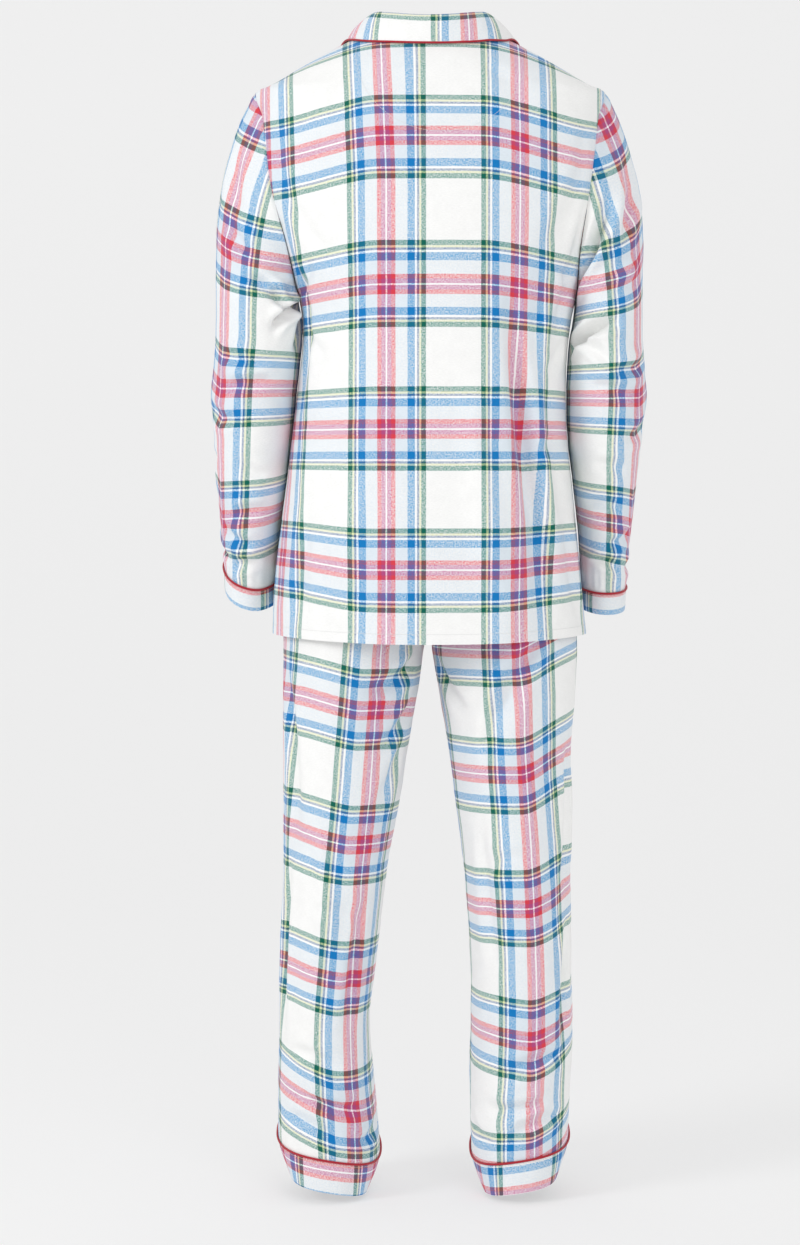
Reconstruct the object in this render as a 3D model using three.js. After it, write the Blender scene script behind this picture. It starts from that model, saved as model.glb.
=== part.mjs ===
// Pyjama set as worn: a button-up shirt with a turned collar and long straight trousers, hollow and open.
// Millimetres, +Z up. The back faces +Y and the wearer's left is +X.
// The origin is the middle of the neck opening, level with the upper ends of the shoulder seams.
import * as THREE from 'three';

// Cloth and seams
const WALL = 1.6;
const SEAM_GAP = 0.3;
const BAND_WALL = 2.2;
const BAND_PROUD = 0.5;
const PIPING_RADIUS = 1.5;
const PIPING_SIDES = 6;
const COLLAR_WALL = 2.0;

// Levels of the shirt
const NECK_LEVEL = 0;
const BACK_NECK_DROP = 12;
const SHOULDER_TIP_LEVEL = -82;
const UNDERARM_LEVEL = -345;
const SHIRT_HEM_LEVEL = -786;
const SIDE_HEM_RISE = 8;
const HEM_CURVE_START = -700;
const LAPEL_BREAK_LEVEL = -165;

// Front opening of the shirt, measured across from the middle
const FRONT_OVERLAP = 14;
const NECK_EDGE_WIDTH = 70;
const OVERLAP_LIFT = WALL + 0.6;
const OVERLAP_FULL = 18;
const OVERLAP_START = 48;
const OVERLAP_TOP = -137;
const OVERLAP_FADE = 45;

// Armhole: how far round to the back and front its seam swings, in degrees
const ARMHOLE_SWING = 28;
const ARMHOLE_ROUNDNESS = 0.6;
const ARMHOLE_STEPS = 9;
const ARMHOLE_RADIUS = 120;

// Counts of the grids
const BACK_COLUMNS = 16;
const FRONT_COLUMNS = 8;
const SLEEVE_COLUMNS = 2 * ARMHOLE_STEPS;
const LEG_PANEL_COLUMNS = 8;
const LEG_HALF_GIRTH = 250;
const BAND_COLUMNS = 2 * LEG_PANEL_COLUMNS;

// Buttons
const BUTTON_RADIUS = 7.5;
const BUTTON_THICKNESS = 3;
const BUTTON_LEVELS = [-180, -295, -410, -525, -640];

const DEGREE = Math.PI / 180;

// Shirt rings: half widths to the wearer's left and right, depth to the back and front,
// and how square the ring is. Between underarm and shoulder tip the widths are the armhole seam's.
const SHIRT_RINGS = [
  { z: -786, left: 204.5, right: 203, back: 150, front: 140, power: 2.3 },
  { z: -736, left: 203, right: 198, back: 149, front: 140, power: 2.3 },
  { z: -684, left: 199, right: 193.5, back: 147, front: 139, power: 2.35 },
  { z: -632, left: 192, right: 188.5, back: 144, front: 138, power: 2.4 },
  { z: -580, left: 185, right: 183, back: 140, front: 137, power: 2.4 },
  { z: -528, left: 179.5, right: 177.5, back: 136, front: 136, power: 2.4 },
  { z: -463, left: 171.5, right: 175.5, back: 131, front: 134, power: 2.4 },
  { z: -411, left: 165.5, right: 177.5, back: 128, front: 133, power: 2.4 },
  { z: -370, left: 166, right: 183, back: 127, front: 131, power: 2.4 },
  { z: -345, left: 170, right: 188, back: 127, front: 130, power: 2.4 },
  { z: -280, left: 184, right: 192, back: 126, front: 126, power: 2.35 },
  { z: -210, left: 203, right: 203, back: 121, front: 119, power: 2.3 },
  { z: -150, left: 211, right: 211, back: 113, front: 110, power: 2.2 },
  { z: -115, left: 216, right: 216, back: 105, front: 101, power: 2.15 },
  { z: -82, left: 225, right: 225, back: 95, front: 91, power: 2.1 },
  { z: -73, left: 205, right: 205, back: 92, front: 87, power: 2.1 },
  { z: -47, left: 161, right: 161, back: 83, front: 76, power: 2.05 },
  { z: -21, left: 113, right: 113, back: 72, front: 64, power: 2 },
  { z: 0, left: 76, right: 76, back: 62, front: 54, power: 2 },
];

// Largest folds of the shirt's body: where each lies across at its upper and lower end,
// its half width and its depth, a trough where the depth is negative.
const SHIRT_FOLDS = [
  { face: 1, top: -250, bottom: -786, xTop: -98, xBottom: -146, width: 26, depth: -7 },
  { face: 1, top: -330, bottom: -786, xTop: -62, xBottom: -96, width: 30, depth: 4 },
  { face: 1, top: -200, bottom: -620, xTop: 140, xBottom: 118, width: 24, depth: -5 },
  { face: 1, top: -420, bottom: -786, xTop: 60, xBottom: 72, width: 34, depth: 3 },
  { face: -1, top: -220, bottom: -786, xTop: 104, xBottom: 128, width: 28, depth: -6 },
  { face: -1, top: -260, bottom: -786, xTop: -96, xBottom: -122, width: 28, depth: -6 },
];

// Sleeve rings: inner and outer side, middle and half depth from front to back,
// and the ring's slope towards the back and towards the outside.
const SLEEVE_RINGS = {
  left: [
    { z: -400, inner: 168.5, outer: 277, middle: 2, half: 76, slope: 0, lean: 0 },
    { z: -476, inner: 176.5, outer: 281, middle: 0, half: 72, slope: -0.05, lean: 0 },
    { z: -541, inner: 185, outer: 279, middle: -8, half: 66, slope: -0.15, lean: 0.05 },
    { z: -606, inner: 193.5, outer: 276, middle: -18, half: 59, slope: -0.25, lean: 0.12 },
    { z: -660, inner: 203, outer: 273, middle: -30, half: 52, slope: -0.36, lean: 0.2 },
    { z: -700, inner: 208.5, outer: 270, middle: -40, half: 46, slope: -0.45, lean: 0.28 },
    { z: -735, inner: 210, outer: 269, middle: -49, half: 46, slope: -0.45, lean: 0.28 },
  ],
  right: [
    { z: -400, inner: 182, outer: 274, middle: 4, half: 76, slope: 0, lean: 0 },
    { z: -476, inner: 180, outer: 277, middle: 2, half: 72, slope: -0.04, lean: 0 },
    { z: -541, inner: 182.5, outer: 272, middle: -5, half: 66, slope: -0.08, lean: 0 },
    { z: -606, inner: 190.5, outer: 266, middle: -13, half: 59, slope: -0.12, lean: 0 },
    { z: -670, inner: 198.5, outer: 260, middle: -24, half: 52, slope: -0.16, lean: 0 },
    { z: -719, inner: 203, outer: 257, middle: -33, half: 46, slope: -0.18, lean: 0 },
    { z: -754, inner: 204, outer: 256, middle: -40, half: 46, slope: -0.18, lean: 0 },
  ],
};
const SLEEVE_POWER = 2.2;
const SLEEVE_TOP_RING = -400;
const SLEEVE_CAP_SHARES = [0, 0.14, 0.3, 0.46, 0.62, 0.8];
const SLEEVE_LEVELS = [SLEEVE_TOP_RING, -430, -460, -490, -525, -560, -600, -640, -670];
const CUFF_SEAM = { left: -700, right: -719 };
const CUFF_HEIGHT = 28;

// Largest folds of a sleeve, round from the inner side by way of the back.
const SLEEVE_FOLDS = [
  { round: 60, z: -392, across: 46, along: 20, depth: -7 },
  { round: 110, z: -432, across: 44, along: 20, depth: 4 },
  { round: 200, z: -470, across: 50, along: 26, depth: 4 },
  { round: 75, z: -640, across: 46, along: 22, depth: 4 },
  { round: 120, z: -676, across: 46, along: 18, depth: -4 },
  { round: 285, z: -468, across: 50, along: 22, depth: -6 },
];

// Trouser rings: outer side and, below the crotch, inner side of each leg, the middle, and the
// depth to the back and front. Above the crotch split says how far the two legs have parted.
const TROUSER_RINGS = [
  { z: -478, outL: 166, outR: 166, inL: 0, inR: 0, middle: 0, back: 112, front: 108, split: 0 },
  { z: -560, outL: 180, outR: 177, inL: 0, inR: 0, middle: 0, back: 121, front: 112, split: 0.1 },
  { z: -640, outL: 187, outR: 183, inL: 0, inR: 0, middle: 0, back: 125, front: 112, split: 0.3 },
  { z: -700, outL: 190, outR: 187, inL: 0, inR: 0, middle: 0, back: 122, front: 110, split: 0.56 },
  { z: -738, outL: 191, outR: 189, inL: 0, inR: 0, middle: 0, back: 118, front: 108, split: 0.82 },
  { z: -760, outL: 191, outR: 190, inL: 1, inR: 1, middle: 0, back: 116, front: 106, split: 1 },
  { z: -800, outL: 191, outR: 191, inL: 8, inR: 3, middle: 1, back: 112, front: 103, split: 1 },
  { z: -860, outL: 191, outR: 188, inL: 17, inR: 13, middle: 3, back: 106, front: 98, split: 1 },
  { z: -931, outL: 191, outR: 183, inL: 29, inR: 25, middle: 5, back: 99, front: 91, split: 1 },
  { z: -1000, outL: 191, outR: 183, inL: 40, inR: 34, middle: 7, back: 93, front: 85, split: 1 },
  { z: -1070, outL: 191, outR: 183, inL: 53, inR: 43, middle: 8, back: 88, front: 80, split: 1 },
  { z: -1140, outL: 192, outR: 184, inL: 62, inR: 49, middle: 8, back: 85, front: 77, split: 1 },
  { z: -1210, outL: 194, outR: 185, inL: 70, inR: 53, middle: 6, back: 83, front: 75, split: 1 },
  { z: -1282, outL: 196, outR: 187, inL: 78, inR: 53, middle: 3, back: 82, front: 75, split: 1 },
  { z: -1350, outL: 198, outR: 185, inL: 73, inR: 52, middle: 0, back: 82, front: 77, split: 1 },
  { z: -1428, outL: 199, outR: 182, inL: 65, inR: 54, middle: -2, back: 80, front: 80, split: 1 },
  { z: -1475, outL: 197, outR: 181, inL: 67, inR: 56, middle: -2, back: 78, front: 80, split: 1 },
];
const TROUSER_POWER = 2.25;
const CROTCH_LEVEL = -760;
const TROUSER_TOP = -478;
const HEM_SEAM = -1428;
const TROUSER_LEVELS = [TROUSER_TOP, -520, -560, -600, -640, -675, -705, -730, -748, CROTCH_LEVEL, -785,
  -820, -870, -930, -1000, -1070, -1140, -1210, -1265, -1310, -1355, -1395, HEM_SEAM];
const HEM_HEIGHT = 43;
const HEM_SLOPE_START = -1230;
const HEM_SLOPE = -0.28;
const HEM_LEAN = 0.13;
const WAISTBAND_TOP = -440;
const WAISTBAND_WALL = 2.6;

// Largest folds of the legs, round from the outer seam by way of the back to the inner seam.
const LEG_FOLDS = {
  left: [
    { round: 42, z: -1000, across: 20, along: 210, depth: -6 },
    { round: 120, z: -860, across: 24, along: 90, depth: -6 },
    { round: 78, z: -1180, across: 24, along: 120, depth: 4 },
    { round: 70, z: -1372, across: 44, along: 18, depth: -6 },
    { round: 118, z: -1330, across: 44, along: 18, depth: 5 },
    { round: -60, z: -1120, across: 26, along: 220, depth: -6 },
    { round: -90, z: -1386, across: 54, along: 18, depth: -7 },
    { round: -90, z: -1345, across: 60, along: 20, depth: 5 },
  ],
  right: [
    { round: 52, z: -950, across: 22, along: 120, depth: -6 },
    { round: 30, z: -1130, across: 22, along: 150, depth: -5 },
    { round: 100, z: -1060, across: 26, along: 160, depth: 4 },
    { round: 80, z: -1376, across: 44, along: 18, depth: -6 },
    { round: 50, z: -1334, across: 44, along: 18, depth: 5 },
    { round: -60, z: -1090, across: 26, along: 220, depth: -6 },
    { round: -95, z: -1384, across: 54, along: 18, depth: -7 },
    { round: -85, z: -1343, across: 60, along: 20, depth: 5 },
  ],
};

// Collar, from the middle of the back (at 0) to its front point (at 1): where its free edge lies on
// the shirt, as the turn from the back in degrees and the level, and the stand's height.
// Its seam runs round the back of the neck up to NECK_CORNER_AT and then down the front edge.
const COLLAR_TABLE = [
  { at: 0, edgeTurn: 0, edgeLevel: -25, stand: 27, upright: 1 },
  { at: 0.3, edgeTurn: 46, edgeLevel: -24, stand: 26, upright: 1 },
  { at: 0.52, edgeTurn: 84, edgeLevel: -22, stand: 21, upright: 0.8 },
  { at: 0.68, edgeTurn: 114, edgeLevel: -30, stand: 14, upright: 0.5 },
  { at: 0.84, edgeTurn: 142, edgeLevel: -54, stand: 8, upright: 0.2 },
  { at: 1, edgeTurn: 153, edgeLevel: -73, stand: 4, upright: 0 },
];
const NECK_CORNER_AT = 0.68;
const COLLAR_HALF_STATIONS = [0.1, 0.2, 0.3, 0.4, 0.5, 0.6, NECK_CORNER_AT, 0.76, 0.84, 0.92, 1];
const COLLAR_FRONT_LEVEL = -58;
const COLLAR_LIFT = 1.6;
const COLLAR_FOOT = 0.8;
const LAPEL = { bottom: -132, top: -66, widthTop: 60, widthTip: 66, tipAt: 0.86, lift: 0.6 };

const CLOTH = { color: 0xe6ebee, roughness: 0.9, metalness: 0 };
const CRIMSON = { color: 0xb4162a, roughness: 0.75, metalness: 0 };
const PEARL = { color: 0xf1efe9, roughness: 0.35, metalness: 0 };

const pyjamas = new THREE.Group();

function addPiece(name, geometry, look) {
  const mesh = new THREE.Mesh(geometry, new THREE.MeshStandardMaterial(look));
  mesh.name = name;
  pyjamas.add(mesh);
  return mesh;
}

const clamp01 = (value) => Math.min(1, Math.max(0, value));
const smooth = (value) => {
  const x = clamp01(value);
  return x * x * (3 - 2 * x);
};
const signedPower = (value, power) => Math.sign(value) * Math.abs(value) ** power;

// Reads every column of a table at one key, on a smooth curve through the rows.
function readTable(table, key, value) {
  const rising = table[table.length - 1][key] > table[0][key];
  const rows = rising ? table : [...table].reverse();
  const x = Math.min(rows[rows.length - 1][key], Math.max(rows[0][key], value));
  let i = 0;
  while (i < rows.length - 2 && x > rows[i + 1][key]) i++;
  const [a, b] = [rows[i], rows[i + 1]];
  const before = rows[Math.max(0, i - 1)];
  const after = rows[Math.min(rows.length - 1, i + 2)];
  const span = b[key] - a[key];
  const s = (x - a[key]) / span;
  const out = {};
  for (const column of Object.keys(a)) {
    const slopeA = (b[column] - before[column]) / (b[key] - before[key]) * span;
    const slopeB = (after[column] - a[column]) / (after[key] - a[key]) * span;
    out[column] = (2 * s ** 3 - 3 * s ** 2 + 1) * a[column] + (s ** 3 - 2 * s ** 2 + s) * slopeA
      + (3 * s ** 2 - 2 * s ** 3) * b[column] + (s ** 3 - s ** 2) * slopeB;
  }
  return out;
}

function geometryFrom(points, index) {
  let volume = 0;
  for (let i = 0; i < index.length; i += 3) {
    const [a, b, c] = [points[index[i]], points[index[i + 1]], points[index[i + 2]]];
    volume += a.dot(b.clone().cross(c));
  }
  if (volume < 0) index.reverse();
  const geometry = new THREE.BufferGeometry();
  geometry.setAttribute('position', new THREE.Float32BufferAttribute(points.flatMap((p) => p.toArray()), 3));
  geometry.setIndex(index);
  geometry.computeVertexNormals();
  return geometry;
}

// A wall between an outer and an inner grid of points, open round its edge or closed into a tube.
function wallGeometry(outer, inner, isTube) {
  const rows = outer.length;
  const columns = outer[0].length;
  const at = (side, row, column) => (side * rows + row) * columns + (column % columns);
  const index = [];
  const quad = (a, b, c, d) => index.push(a, b, c, a, c, d);
  const columnEnd = isTube ? columns : columns - 1;
  const top = rows - 1;
  for (let c = 0; c < columnEnd; c++) {
    for (let r = 0; r < top; r++) {
      quad(at(0, r, c), at(0, r, c + 1), at(0, r + 1, c + 1), at(0, r + 1, c));
      quad(at(1, r, c), at(1, r + 1, c), at(1, r + 1, c + 1), at(1, r, c + 1));
    }
    quad(at(0, 0, c + 1), at(0, 0, c), at(1, 0, c), at(1, 0, c + 1));
    quad(at(0, top, c), at(0, top, c + 1), at(1, top, c + 1), at(1, top, c));
  }
  for (let r = 0; r < top && !isTube; r++) {
    quad(at(0, r, 0), at(0, r + 1, 0), at(1, r + 1, 0), at(1, r, 0));
    const last = columns - 1;
    quad(at(0, r + 1, last), at(0, r, last), at(1, r, last), at(1, r + 1, last));
  }
  return geometryFrom([...outer.flat(), ...inner.flat()], index);
}

// A round cord along a path, each point with the direction that faces away from the cloth.
function pipingGeometry(path, isRing) {
  const points = [];
  const count = path.length;
  path.forEach(({ place, outward }, i) => {
    const next = path[isRing ? (i + 1) % count : Math.min(count - 1, i + 1)].place;
    const last = path[isRing ? (i + count - 1) % count : Math.max(0, i - 1)].place;
    const along = next.clone().sub(last).normalize();
    const across = along.clone().cross(outward).normalize();
    const out = across.clone().cross(along).normalize();
    for (let side = 0; side < PIPING_SIDES; side++) {
      const turn = 2 * Math.PI * side / PIPING_SIDES;
      points.push(place.clone().addScaledVector(out, PIPING_RADIUS * Math.cos(turn))
        .addScaledVector(across, PIPING_RADIUS * Math.sin(turn)));
    }
  });
  const index = [];
  const stepEnd = isRing ? count : count - 1;
  for (let i = 0; i < stepEnd; i++) {
    for (let side = 0; side < PIPING_SIDES; side++) {
      const a = i * PIPING_SIDES + side;
      const b = i * PIPING_SIDES + (side + 1) % PIPING_SIDES;
      const c = ((i + 1) % count) * PIPING_SIDES + (side + 1) % PIPING_SIDES;
      const d = ((i + 1) % count) * PIPING_SIDES + side;
      index.push(a, b, c, a, c, d);
    }
  }
  for (let side = 1; side < PIPING_SIDES - 1 && !isRing; side++) {
    const end = (count - 1) * PIPING_SIDES;
    index.push(0, side + 1, side);
    index.push(end, end + side, end + side + 1);
  }
  return geometryFrom(points, index);
}

function normalOf(surface, u, v, stepU, stepV, away) {
  const along = surface(u + stepU, v).sub(surface(u - stepU, v));
  const up = surface(u, v + stepV).sub(surface(u, v - stepV));
  const normal = along.cross(up).normalize();
  return normal.dot(away) < 0 ? normal.negate() : normal;
}

// Shirt body

function armholeSwing(z) {
  const share = clamp01((z - UNDERARM_LEVEL) / (SHOULDER_TIP_LEVEL - UNDERARM_LEVEL));
  return ARMHOLE_SWING * Math.sin(Math.PI * share) ** ARMHOLE_ROUNDNESS;
}

function shirtFold(x, z, face) {
  let sum = 0;
  for (const fold of SHIRT_FOLDS) {
    const share = (fold.top - z) / (fold.top - fold.bottom);
    if (fold.face !== face || share <= 0) continue;
    const middle = fold.xTop + (fold.xBottom - fold.xTop) * share;
    sum += fold.depth * smooth(share * 2.5) * Math.exp(-(((x - middle) / fold.width) ** 2));
  }
  return sum;
}

// A point of the shirt's outer face: turn 0 is the middle of the back, 90 the wearer's left side.
function shirtPoint(turn, level) {
  const ring = readTable(SHIRT_RINGS, 'z', level);
  const sine = Math.sin(turn * DEGREE);
  const cosine = Math.cos(turn * DEGREE);
  const widening = Math.cos(armholeSwing(level) * DEGREE) ** (-2 / ring.power);
  const width = (sine >= 0 ? ring.left : ring.right) * widening;
  const face = cosine >= 0 ? 1 : -1;
  const x = width * signedPower(sine, 2 / ring.power);
  const depth = (face > 0 ? ring.back : ring.front) * signedPower(cosine, 2 / ring.power);
  const y = depth + face * shirtFold(x, level, face) * Math.abs(cosine);
  const neckDip = face > 0 ? BACK_NECK_DROP * cosine ** 2 * smooth((level + 60) / 60) : 0;
  const hemRise = SIDE_HEM_RISE * sine ** 2 * clamp01((HEM_CURVE_START - level) / (HEM_CURVE_START - SHIRT_HEM_LEVEL));
  return new THREE.Vector3(x, y, level - neckDip + hemRise);
}

function shirtNormal(turn, level) {
  const away = new THREE.Vector3(Math.sin(turn * DEGREE), Math.cos(turn * DEGREE), 0.4);
  return normalOf(shirtPoint, turn, level, 0.5, 1, away);
}

// The turn at which the front of the ring lies this far to the left of the middle.
function frontTurn(x, level) {
  const ring = readTable(SHIRT_RINGS, 'z', level);
  const widening = Math.cos(armholeSwing(level) * DEGREE) ** (-2 / ring.power);
  const share = Math.min(1, Math.abs(x) / ((x >= 0 ? ring.left : ring.right) * widening));
  return 180 - Math.sign(x) * Math.asin(share ** (ring.power / 2)) / DEGREE;
}

// The front edge of a front panel, across from the middle and towards its own side.
function frontEdge(level) {
  const share = clamp01((level - LAPEL_BREAK_LEVEL) / (NECK_LEVEL - LAPEL_BREAK_LEVEL));
  return -FRONT_OVERLAP + (NECK_EDGE_WIDTH + FRONT_OVERLAP) * share;
}

// The left front lies over the right one, so it steps out near the middle.
function overlapLift(x, level) {
  const near = smooth((OVERLAP_START - x) / (OVERLAP_START - OVERLAP_FULL));
  return OVERLAP_LIFT * near * (1 - smooth((level - OVERLAP_TOP) / OVERLAP_FADE));
}

const armholeLevels = [];
for (let i = 0; i <= ARMHOLE_STEPS; i++) {
  const share = (1 - Math.cos(Math.PI * i / ARMHOLE_STEPS)) / 2;
  armholeLevels.push(UNDERARM_LEVEL + (SHOULDER_TIP_LEVEL - UNDERARM_LEVEL) * share);
}
const LEVELS_BELOW_ARMHOLE = [SHIRT_HEM_LEVEL, -740, -690, -640, -590, -540, -490, -440, -400, -370];
const SHOULDER_LEVELS = [-72, -60, -47, -34, -21, -10, NECK_LEVEL];
const shirtLevels = [...LEVELS_BELOW_ARMHOLE, ...armholeLevels, ...SHOULDER_LEVELS];

// The turns at which the back panel ends and a front panel starts, each half a gap from the seam.
function sideTurns(level) {
  const halfGap = SEAM_GAP / 2 / (ARMHOLE_RADIUS * DEGREE);
  return { back: 90 - armholeSwing(level) - halfGap, front: 90 + armholeSwing(level) + halfGap };
}

function shirtPanel(name, columns, turnAt, liftAt) {
  const outer = [];
  const inner = [];
  for (const level of shirtLevels) {
    const outerRow = [];
    const innerRow = [];
    for (let c = 0; c <= columns; c++) {
      const turn = turnAt(c / columns, level);
      const normal = shirtNormal(turn, level);
      const place = shirtPoint(turn, level);
      place.addScaledVector(normal, liftAt(place.x, level));
      outerRow.push(place);
      innerRow.push(place.clone().addScaledVector(normal, -WALL));
    }
    outer.push(outerRow);
    inner.push(innerRow);
  }
  addPiece(name, wallGeometry(outer, inner, false), CLOTH);
}

function makeShirtBody() {
  shirtPanel('shirt_back', BACK_COLUMNS, (share, level) => (2 * share - 1) * sideTurns(level).back, () => 0);
  for (const [name, side] of [['shirt_front_left', 1], ['shirt_front_right', -1]]) {
    const turnAt = (share, level) => {
      const start = sideTurns(level).front;
      const fromEdge = Math.round((1 - share) * FRONT_COLUMNS);
      const edge = frontEdge(level);
      if (fromEdge === 0) return side * frontTurn(edge, level);
      const near = frontTurn(edge + OVERLAP_FULL + FRONT_OVERLAP, level);
      if (fromEdge === 1) return side * Math.max(near, start + (frontTurn(edge, level) - start) * 0.7);
      const wide = frontTurn(edge + OVERLAP_START + FRONT_OVERLAP, level);
      const end = Math.max(wide, start + (frontTurn(edge, level) - start) * 0.5);
      return side * (start + (end - start) * share * FRONT_COLUMNS / (FRONT_COLUMNS - 2));
    };
    shirtPanel(name, FRONT_COLUMNS, turnAt, side > 0 ? overlapLift : () => 0);
  }
}

// A turned-back lapel lies on each front, made from the front's own points moved out.
function makeLapel(name, side) {
  const rows = 8;
  const columns = 4;
  const outer = [];
  const inner = [];
  for (let r = 0; r <= rows; r++) {
    const share = r / rows;
    const level = LAPEL.bottom + (LAPEL.top - LAPEL.bottom) * share;
    const width = 6 + (LAPEL.widthTip - 6) * Math.min(1, share / LAPEL.tipAt)
      - (LAPEL.widthTip - LAPEL.widthTop) * smooth((share - LAPEL.tipAt) / (1 - LAPEL.tipAt));
    const outerRow = [];
    const innerRow = [];
    for (let c = 0; c <= columns; c++) {
      const x = frontEdge(level) + 0.5 + width * c / columns;
      const drop = 16 * (c / columns) * share;
      const turn = side * frontTurn(x, level - drop);
      const normal = shirtNormal(turn, level - drop);
      const base = LAPEL.lift + (side > 0 ? overlapLift(x, level) : 0);
      const place = shirtPoint(turn, level - drop);
      outerRow.push(place.clone().addScaledVector(normal, base + WALL));
      innerRow.push(place.clone().addScaledVector(normal, base));
    }
    outer.push(outerRow);
    inner.push(innerRow);
  }
  addPiece(name, wallGeometry(outer, inner, false), CLOTH);
}

// Collar

function collarStation(share) {
  const side = share < 0 ? -1 : 1;
  const at = Math.abs(share);
  const row = readTable(COLLAR_TABLE, 'at', at);
  const down = clamp01((at - NECK_CORNER_AT) / (1 - NECK_CORNER_AT));
  const seamLevel = COLLAR_FRONT_LEVEL * down;
  const corner = frontTurn(NECK_EDGE_WIDTH, NECK_LEVEL);
  const seamTurnHere = down > 0 ? frontTurn(frontEdge(seamLevel), seamLevel) : corner * at / NECK_CORNER_AT;
  const seam = shirtPoint(side * seamTurnHere, seamLevel);
  const seamNormal = shirtNormal(side * seamTurnHere, seamLevel);
  const edgeNormal = shirtNormal(side * row.edgeTurn, row.edgeLevel);
  const edge = shirtPoint(side * row.edgeTurn, row.edgeLevel)
    .addScaledVector(edgeNormal, COLLAR_LIFT + COLLAR_WALL);
  const inward = new THREE.Vector3(-seam.x, -seam.y, 0).normalize();
  const beyond = seamNormal.clone().multiplyScalar(-inward.dot(seamNormal)).add(inward).normalize();
  const up = new THREE.Vector3(0, 0, 1).lerp(beyond, 1 - row.upright).normalize();
  const fold = seam.clone().addScaledVector(up, row.stand + 1.5)
    .addScaledVector(seamNormal, 1.5);
  return { seam, seamNormal, up, fold, edge, edgeNormal, stand: row.stand };
}

function collarSection(share) {
  const { seam, seamNormal, up, fold, edge, edgeNormal, stand } = collarStation(share);
  const foot = seam.clone().addScaledVector(up, COLLAR_FOOT);
  const out = edge.clone().sub(fold).projectOnPlane(up).normalize();
  const outer = [];
  const inner = [];
  const add = (place, direction) => {
    outer.push(place.clone());
    inner.push(place.clone().addScaledVector(direction, COLLAR_WALL));
  };
  const back = out.clone().negate();
  add(foot, back);
  add(foot.clone().addScaledVector(up, stand * 0.5), back);
  add(foot.clone().addScaledVector(up, stand * 0.85), back);
  const crest = foot.clone().addScaledVector(up, stand * 0.85).addScaledVector(out, 0.8);
  for (const turn of [60, 30]) {
    const away = back.clone().multiplyScalar(Math.cos((90 - turn) * DEGREE))
      .addScaledVector(up, Math.sin((90 - turn) * DEGREE));
    add(crest.clone().addScaledVector(away, 0.8), away);
  }
  const under = edge.clone().addScaledVector(edgeNormal, -COLLAR_WALL);
  const start = crest.clone().addScaledVector(out, 0.8);
  for (const s of [0, 0.25, 0.5, 0.75, 1]) {
    const bulge = 3 * Math.sin(Math.PI * s);
    const direction = out.clone().multiplyScalar(0.6).add(up.clone().multiplyScalar(0.4 * (1 - s)))
      .lerp(edgeNormal, s).normalize();
    add(start.clone().lerp(under, s).addScaledVector(edgeNormal, bulge), direction);
  }
  return { outer, inner };
}

function makeCollar() {
  const outer = [];
  const inner = [];
  const path = [];
  const stations = [...COLLAR_HALF_STATIONS.map((at) => -at).reverse(), 0, ...COLLAR_HALF_STATIONS];
  for (const share of stations) {
    const section = collarSection(share);
    outer.push(section.inner);
    inner.push(section.outer);
    const last = section.outer.length - 1;
    const across = section.inner[last].clone().sub(section.outer[last]).normalize();
    const slope = section.outer[last].clone().sub(section.outer[last - 1]).projectOnPlane(across).normalize();
    const middle = section.outer[last].clone().lerp(section.inner[last], 0.5);
    path.push({
      place: middle.addScaledVector(slope, PIPING_RADIUS + SEAM_GAP),
      outward: across,
    });
  }
  addPiece('collar', wallGeometry(outer, inner, false), CLOTH);
  addPiece('collar_piping', pipingGeometry(path, false), CRIMSON);
}

// Buttons on the left front, turned to face out from the cloth.
function makeButtons() {
  const profile = [[0, 0], [6.6, 0], [BUTTON_RADIUS, 1], [BUTTON_RADIUS, 2.2], [6.6, BUTTON_THICKNESS],
    [5.4, 2.7], [4.6, 2], [0, 2]].map(([radius, height]) => new THREE.Vector2(radius, height));
  BUTTON_LEVELS.forEach((level, i) => {
    const normal = shirtNormal(180, level);
    const lathe = new THREE.LatheGeometry(profile, 12);
    const mesh = addPiece(`button_${i + 1}`, lathe, PEARL);
    mesh.quaternion.setFromUnitVectors(new THREE.Vector3(0, 1, 0), normal);
    mesh.position.copy(shirtPoint(180, level)).addScaledVector(normal, OVERLAP_LIFT + 0.5);
  });
}

// Sleeves

function armholePoint(side, around) {
  const share = (1 - Math.cos(around * DEGREE)) / 2;
  const level = UNDERARM_LEVEL + (SHOULDER_TIP_LEVEL - UNDERARM_LEVEL) * share;
  const face = Math.sin(around * DEGREE) >= 0 ? 1 : -1;
  const turn = side * (90 - face * armholeSwing(level));
  return { place: shirtPoint(turn, level), normal: shirtNormal(turn, level) };
}

function sleeveFold(around, z) {
  let sum = 0;
  for (const fold of SLEEVE_FOLDS) {
    const offset = ((around - fold.round + 540) % 360) - 180;
    sum += fold.depth * Math.exp(-((offset / fold.across) ** 2) - ((z - fold.z) / fold.along) ** 2);
  }
  return sum;
}

function sleeveRingPoint(name, side, around, z) {
  const ring = readTable(SLEEVE_RINGS[name], 'z', z);
  const centre = (ring.inner + ring.outer) / 2;
  const cosine = signedPower(Math.cos(around * DEGREE), 2 / SLEEVE_POWER);
  const sine = signedPower(Math.sin(around * DEGREE), 2 / SLEEVE_POWER);
  const fold = sleeveFold(around, z);
  const acrossFold = Math.cos(around * DEGREE) > 0 ? 0 : fold;
  const dx = -((ring.outer - ring.inner) / 2 + acrossFold) * cosine;
  const dy = (ring.half + fold) * sine;
  return new THREE.Vector3(side * (centre + dx), ring.middle + dy, z + ring.slope * dy + ring.lean * dx);
}

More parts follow.
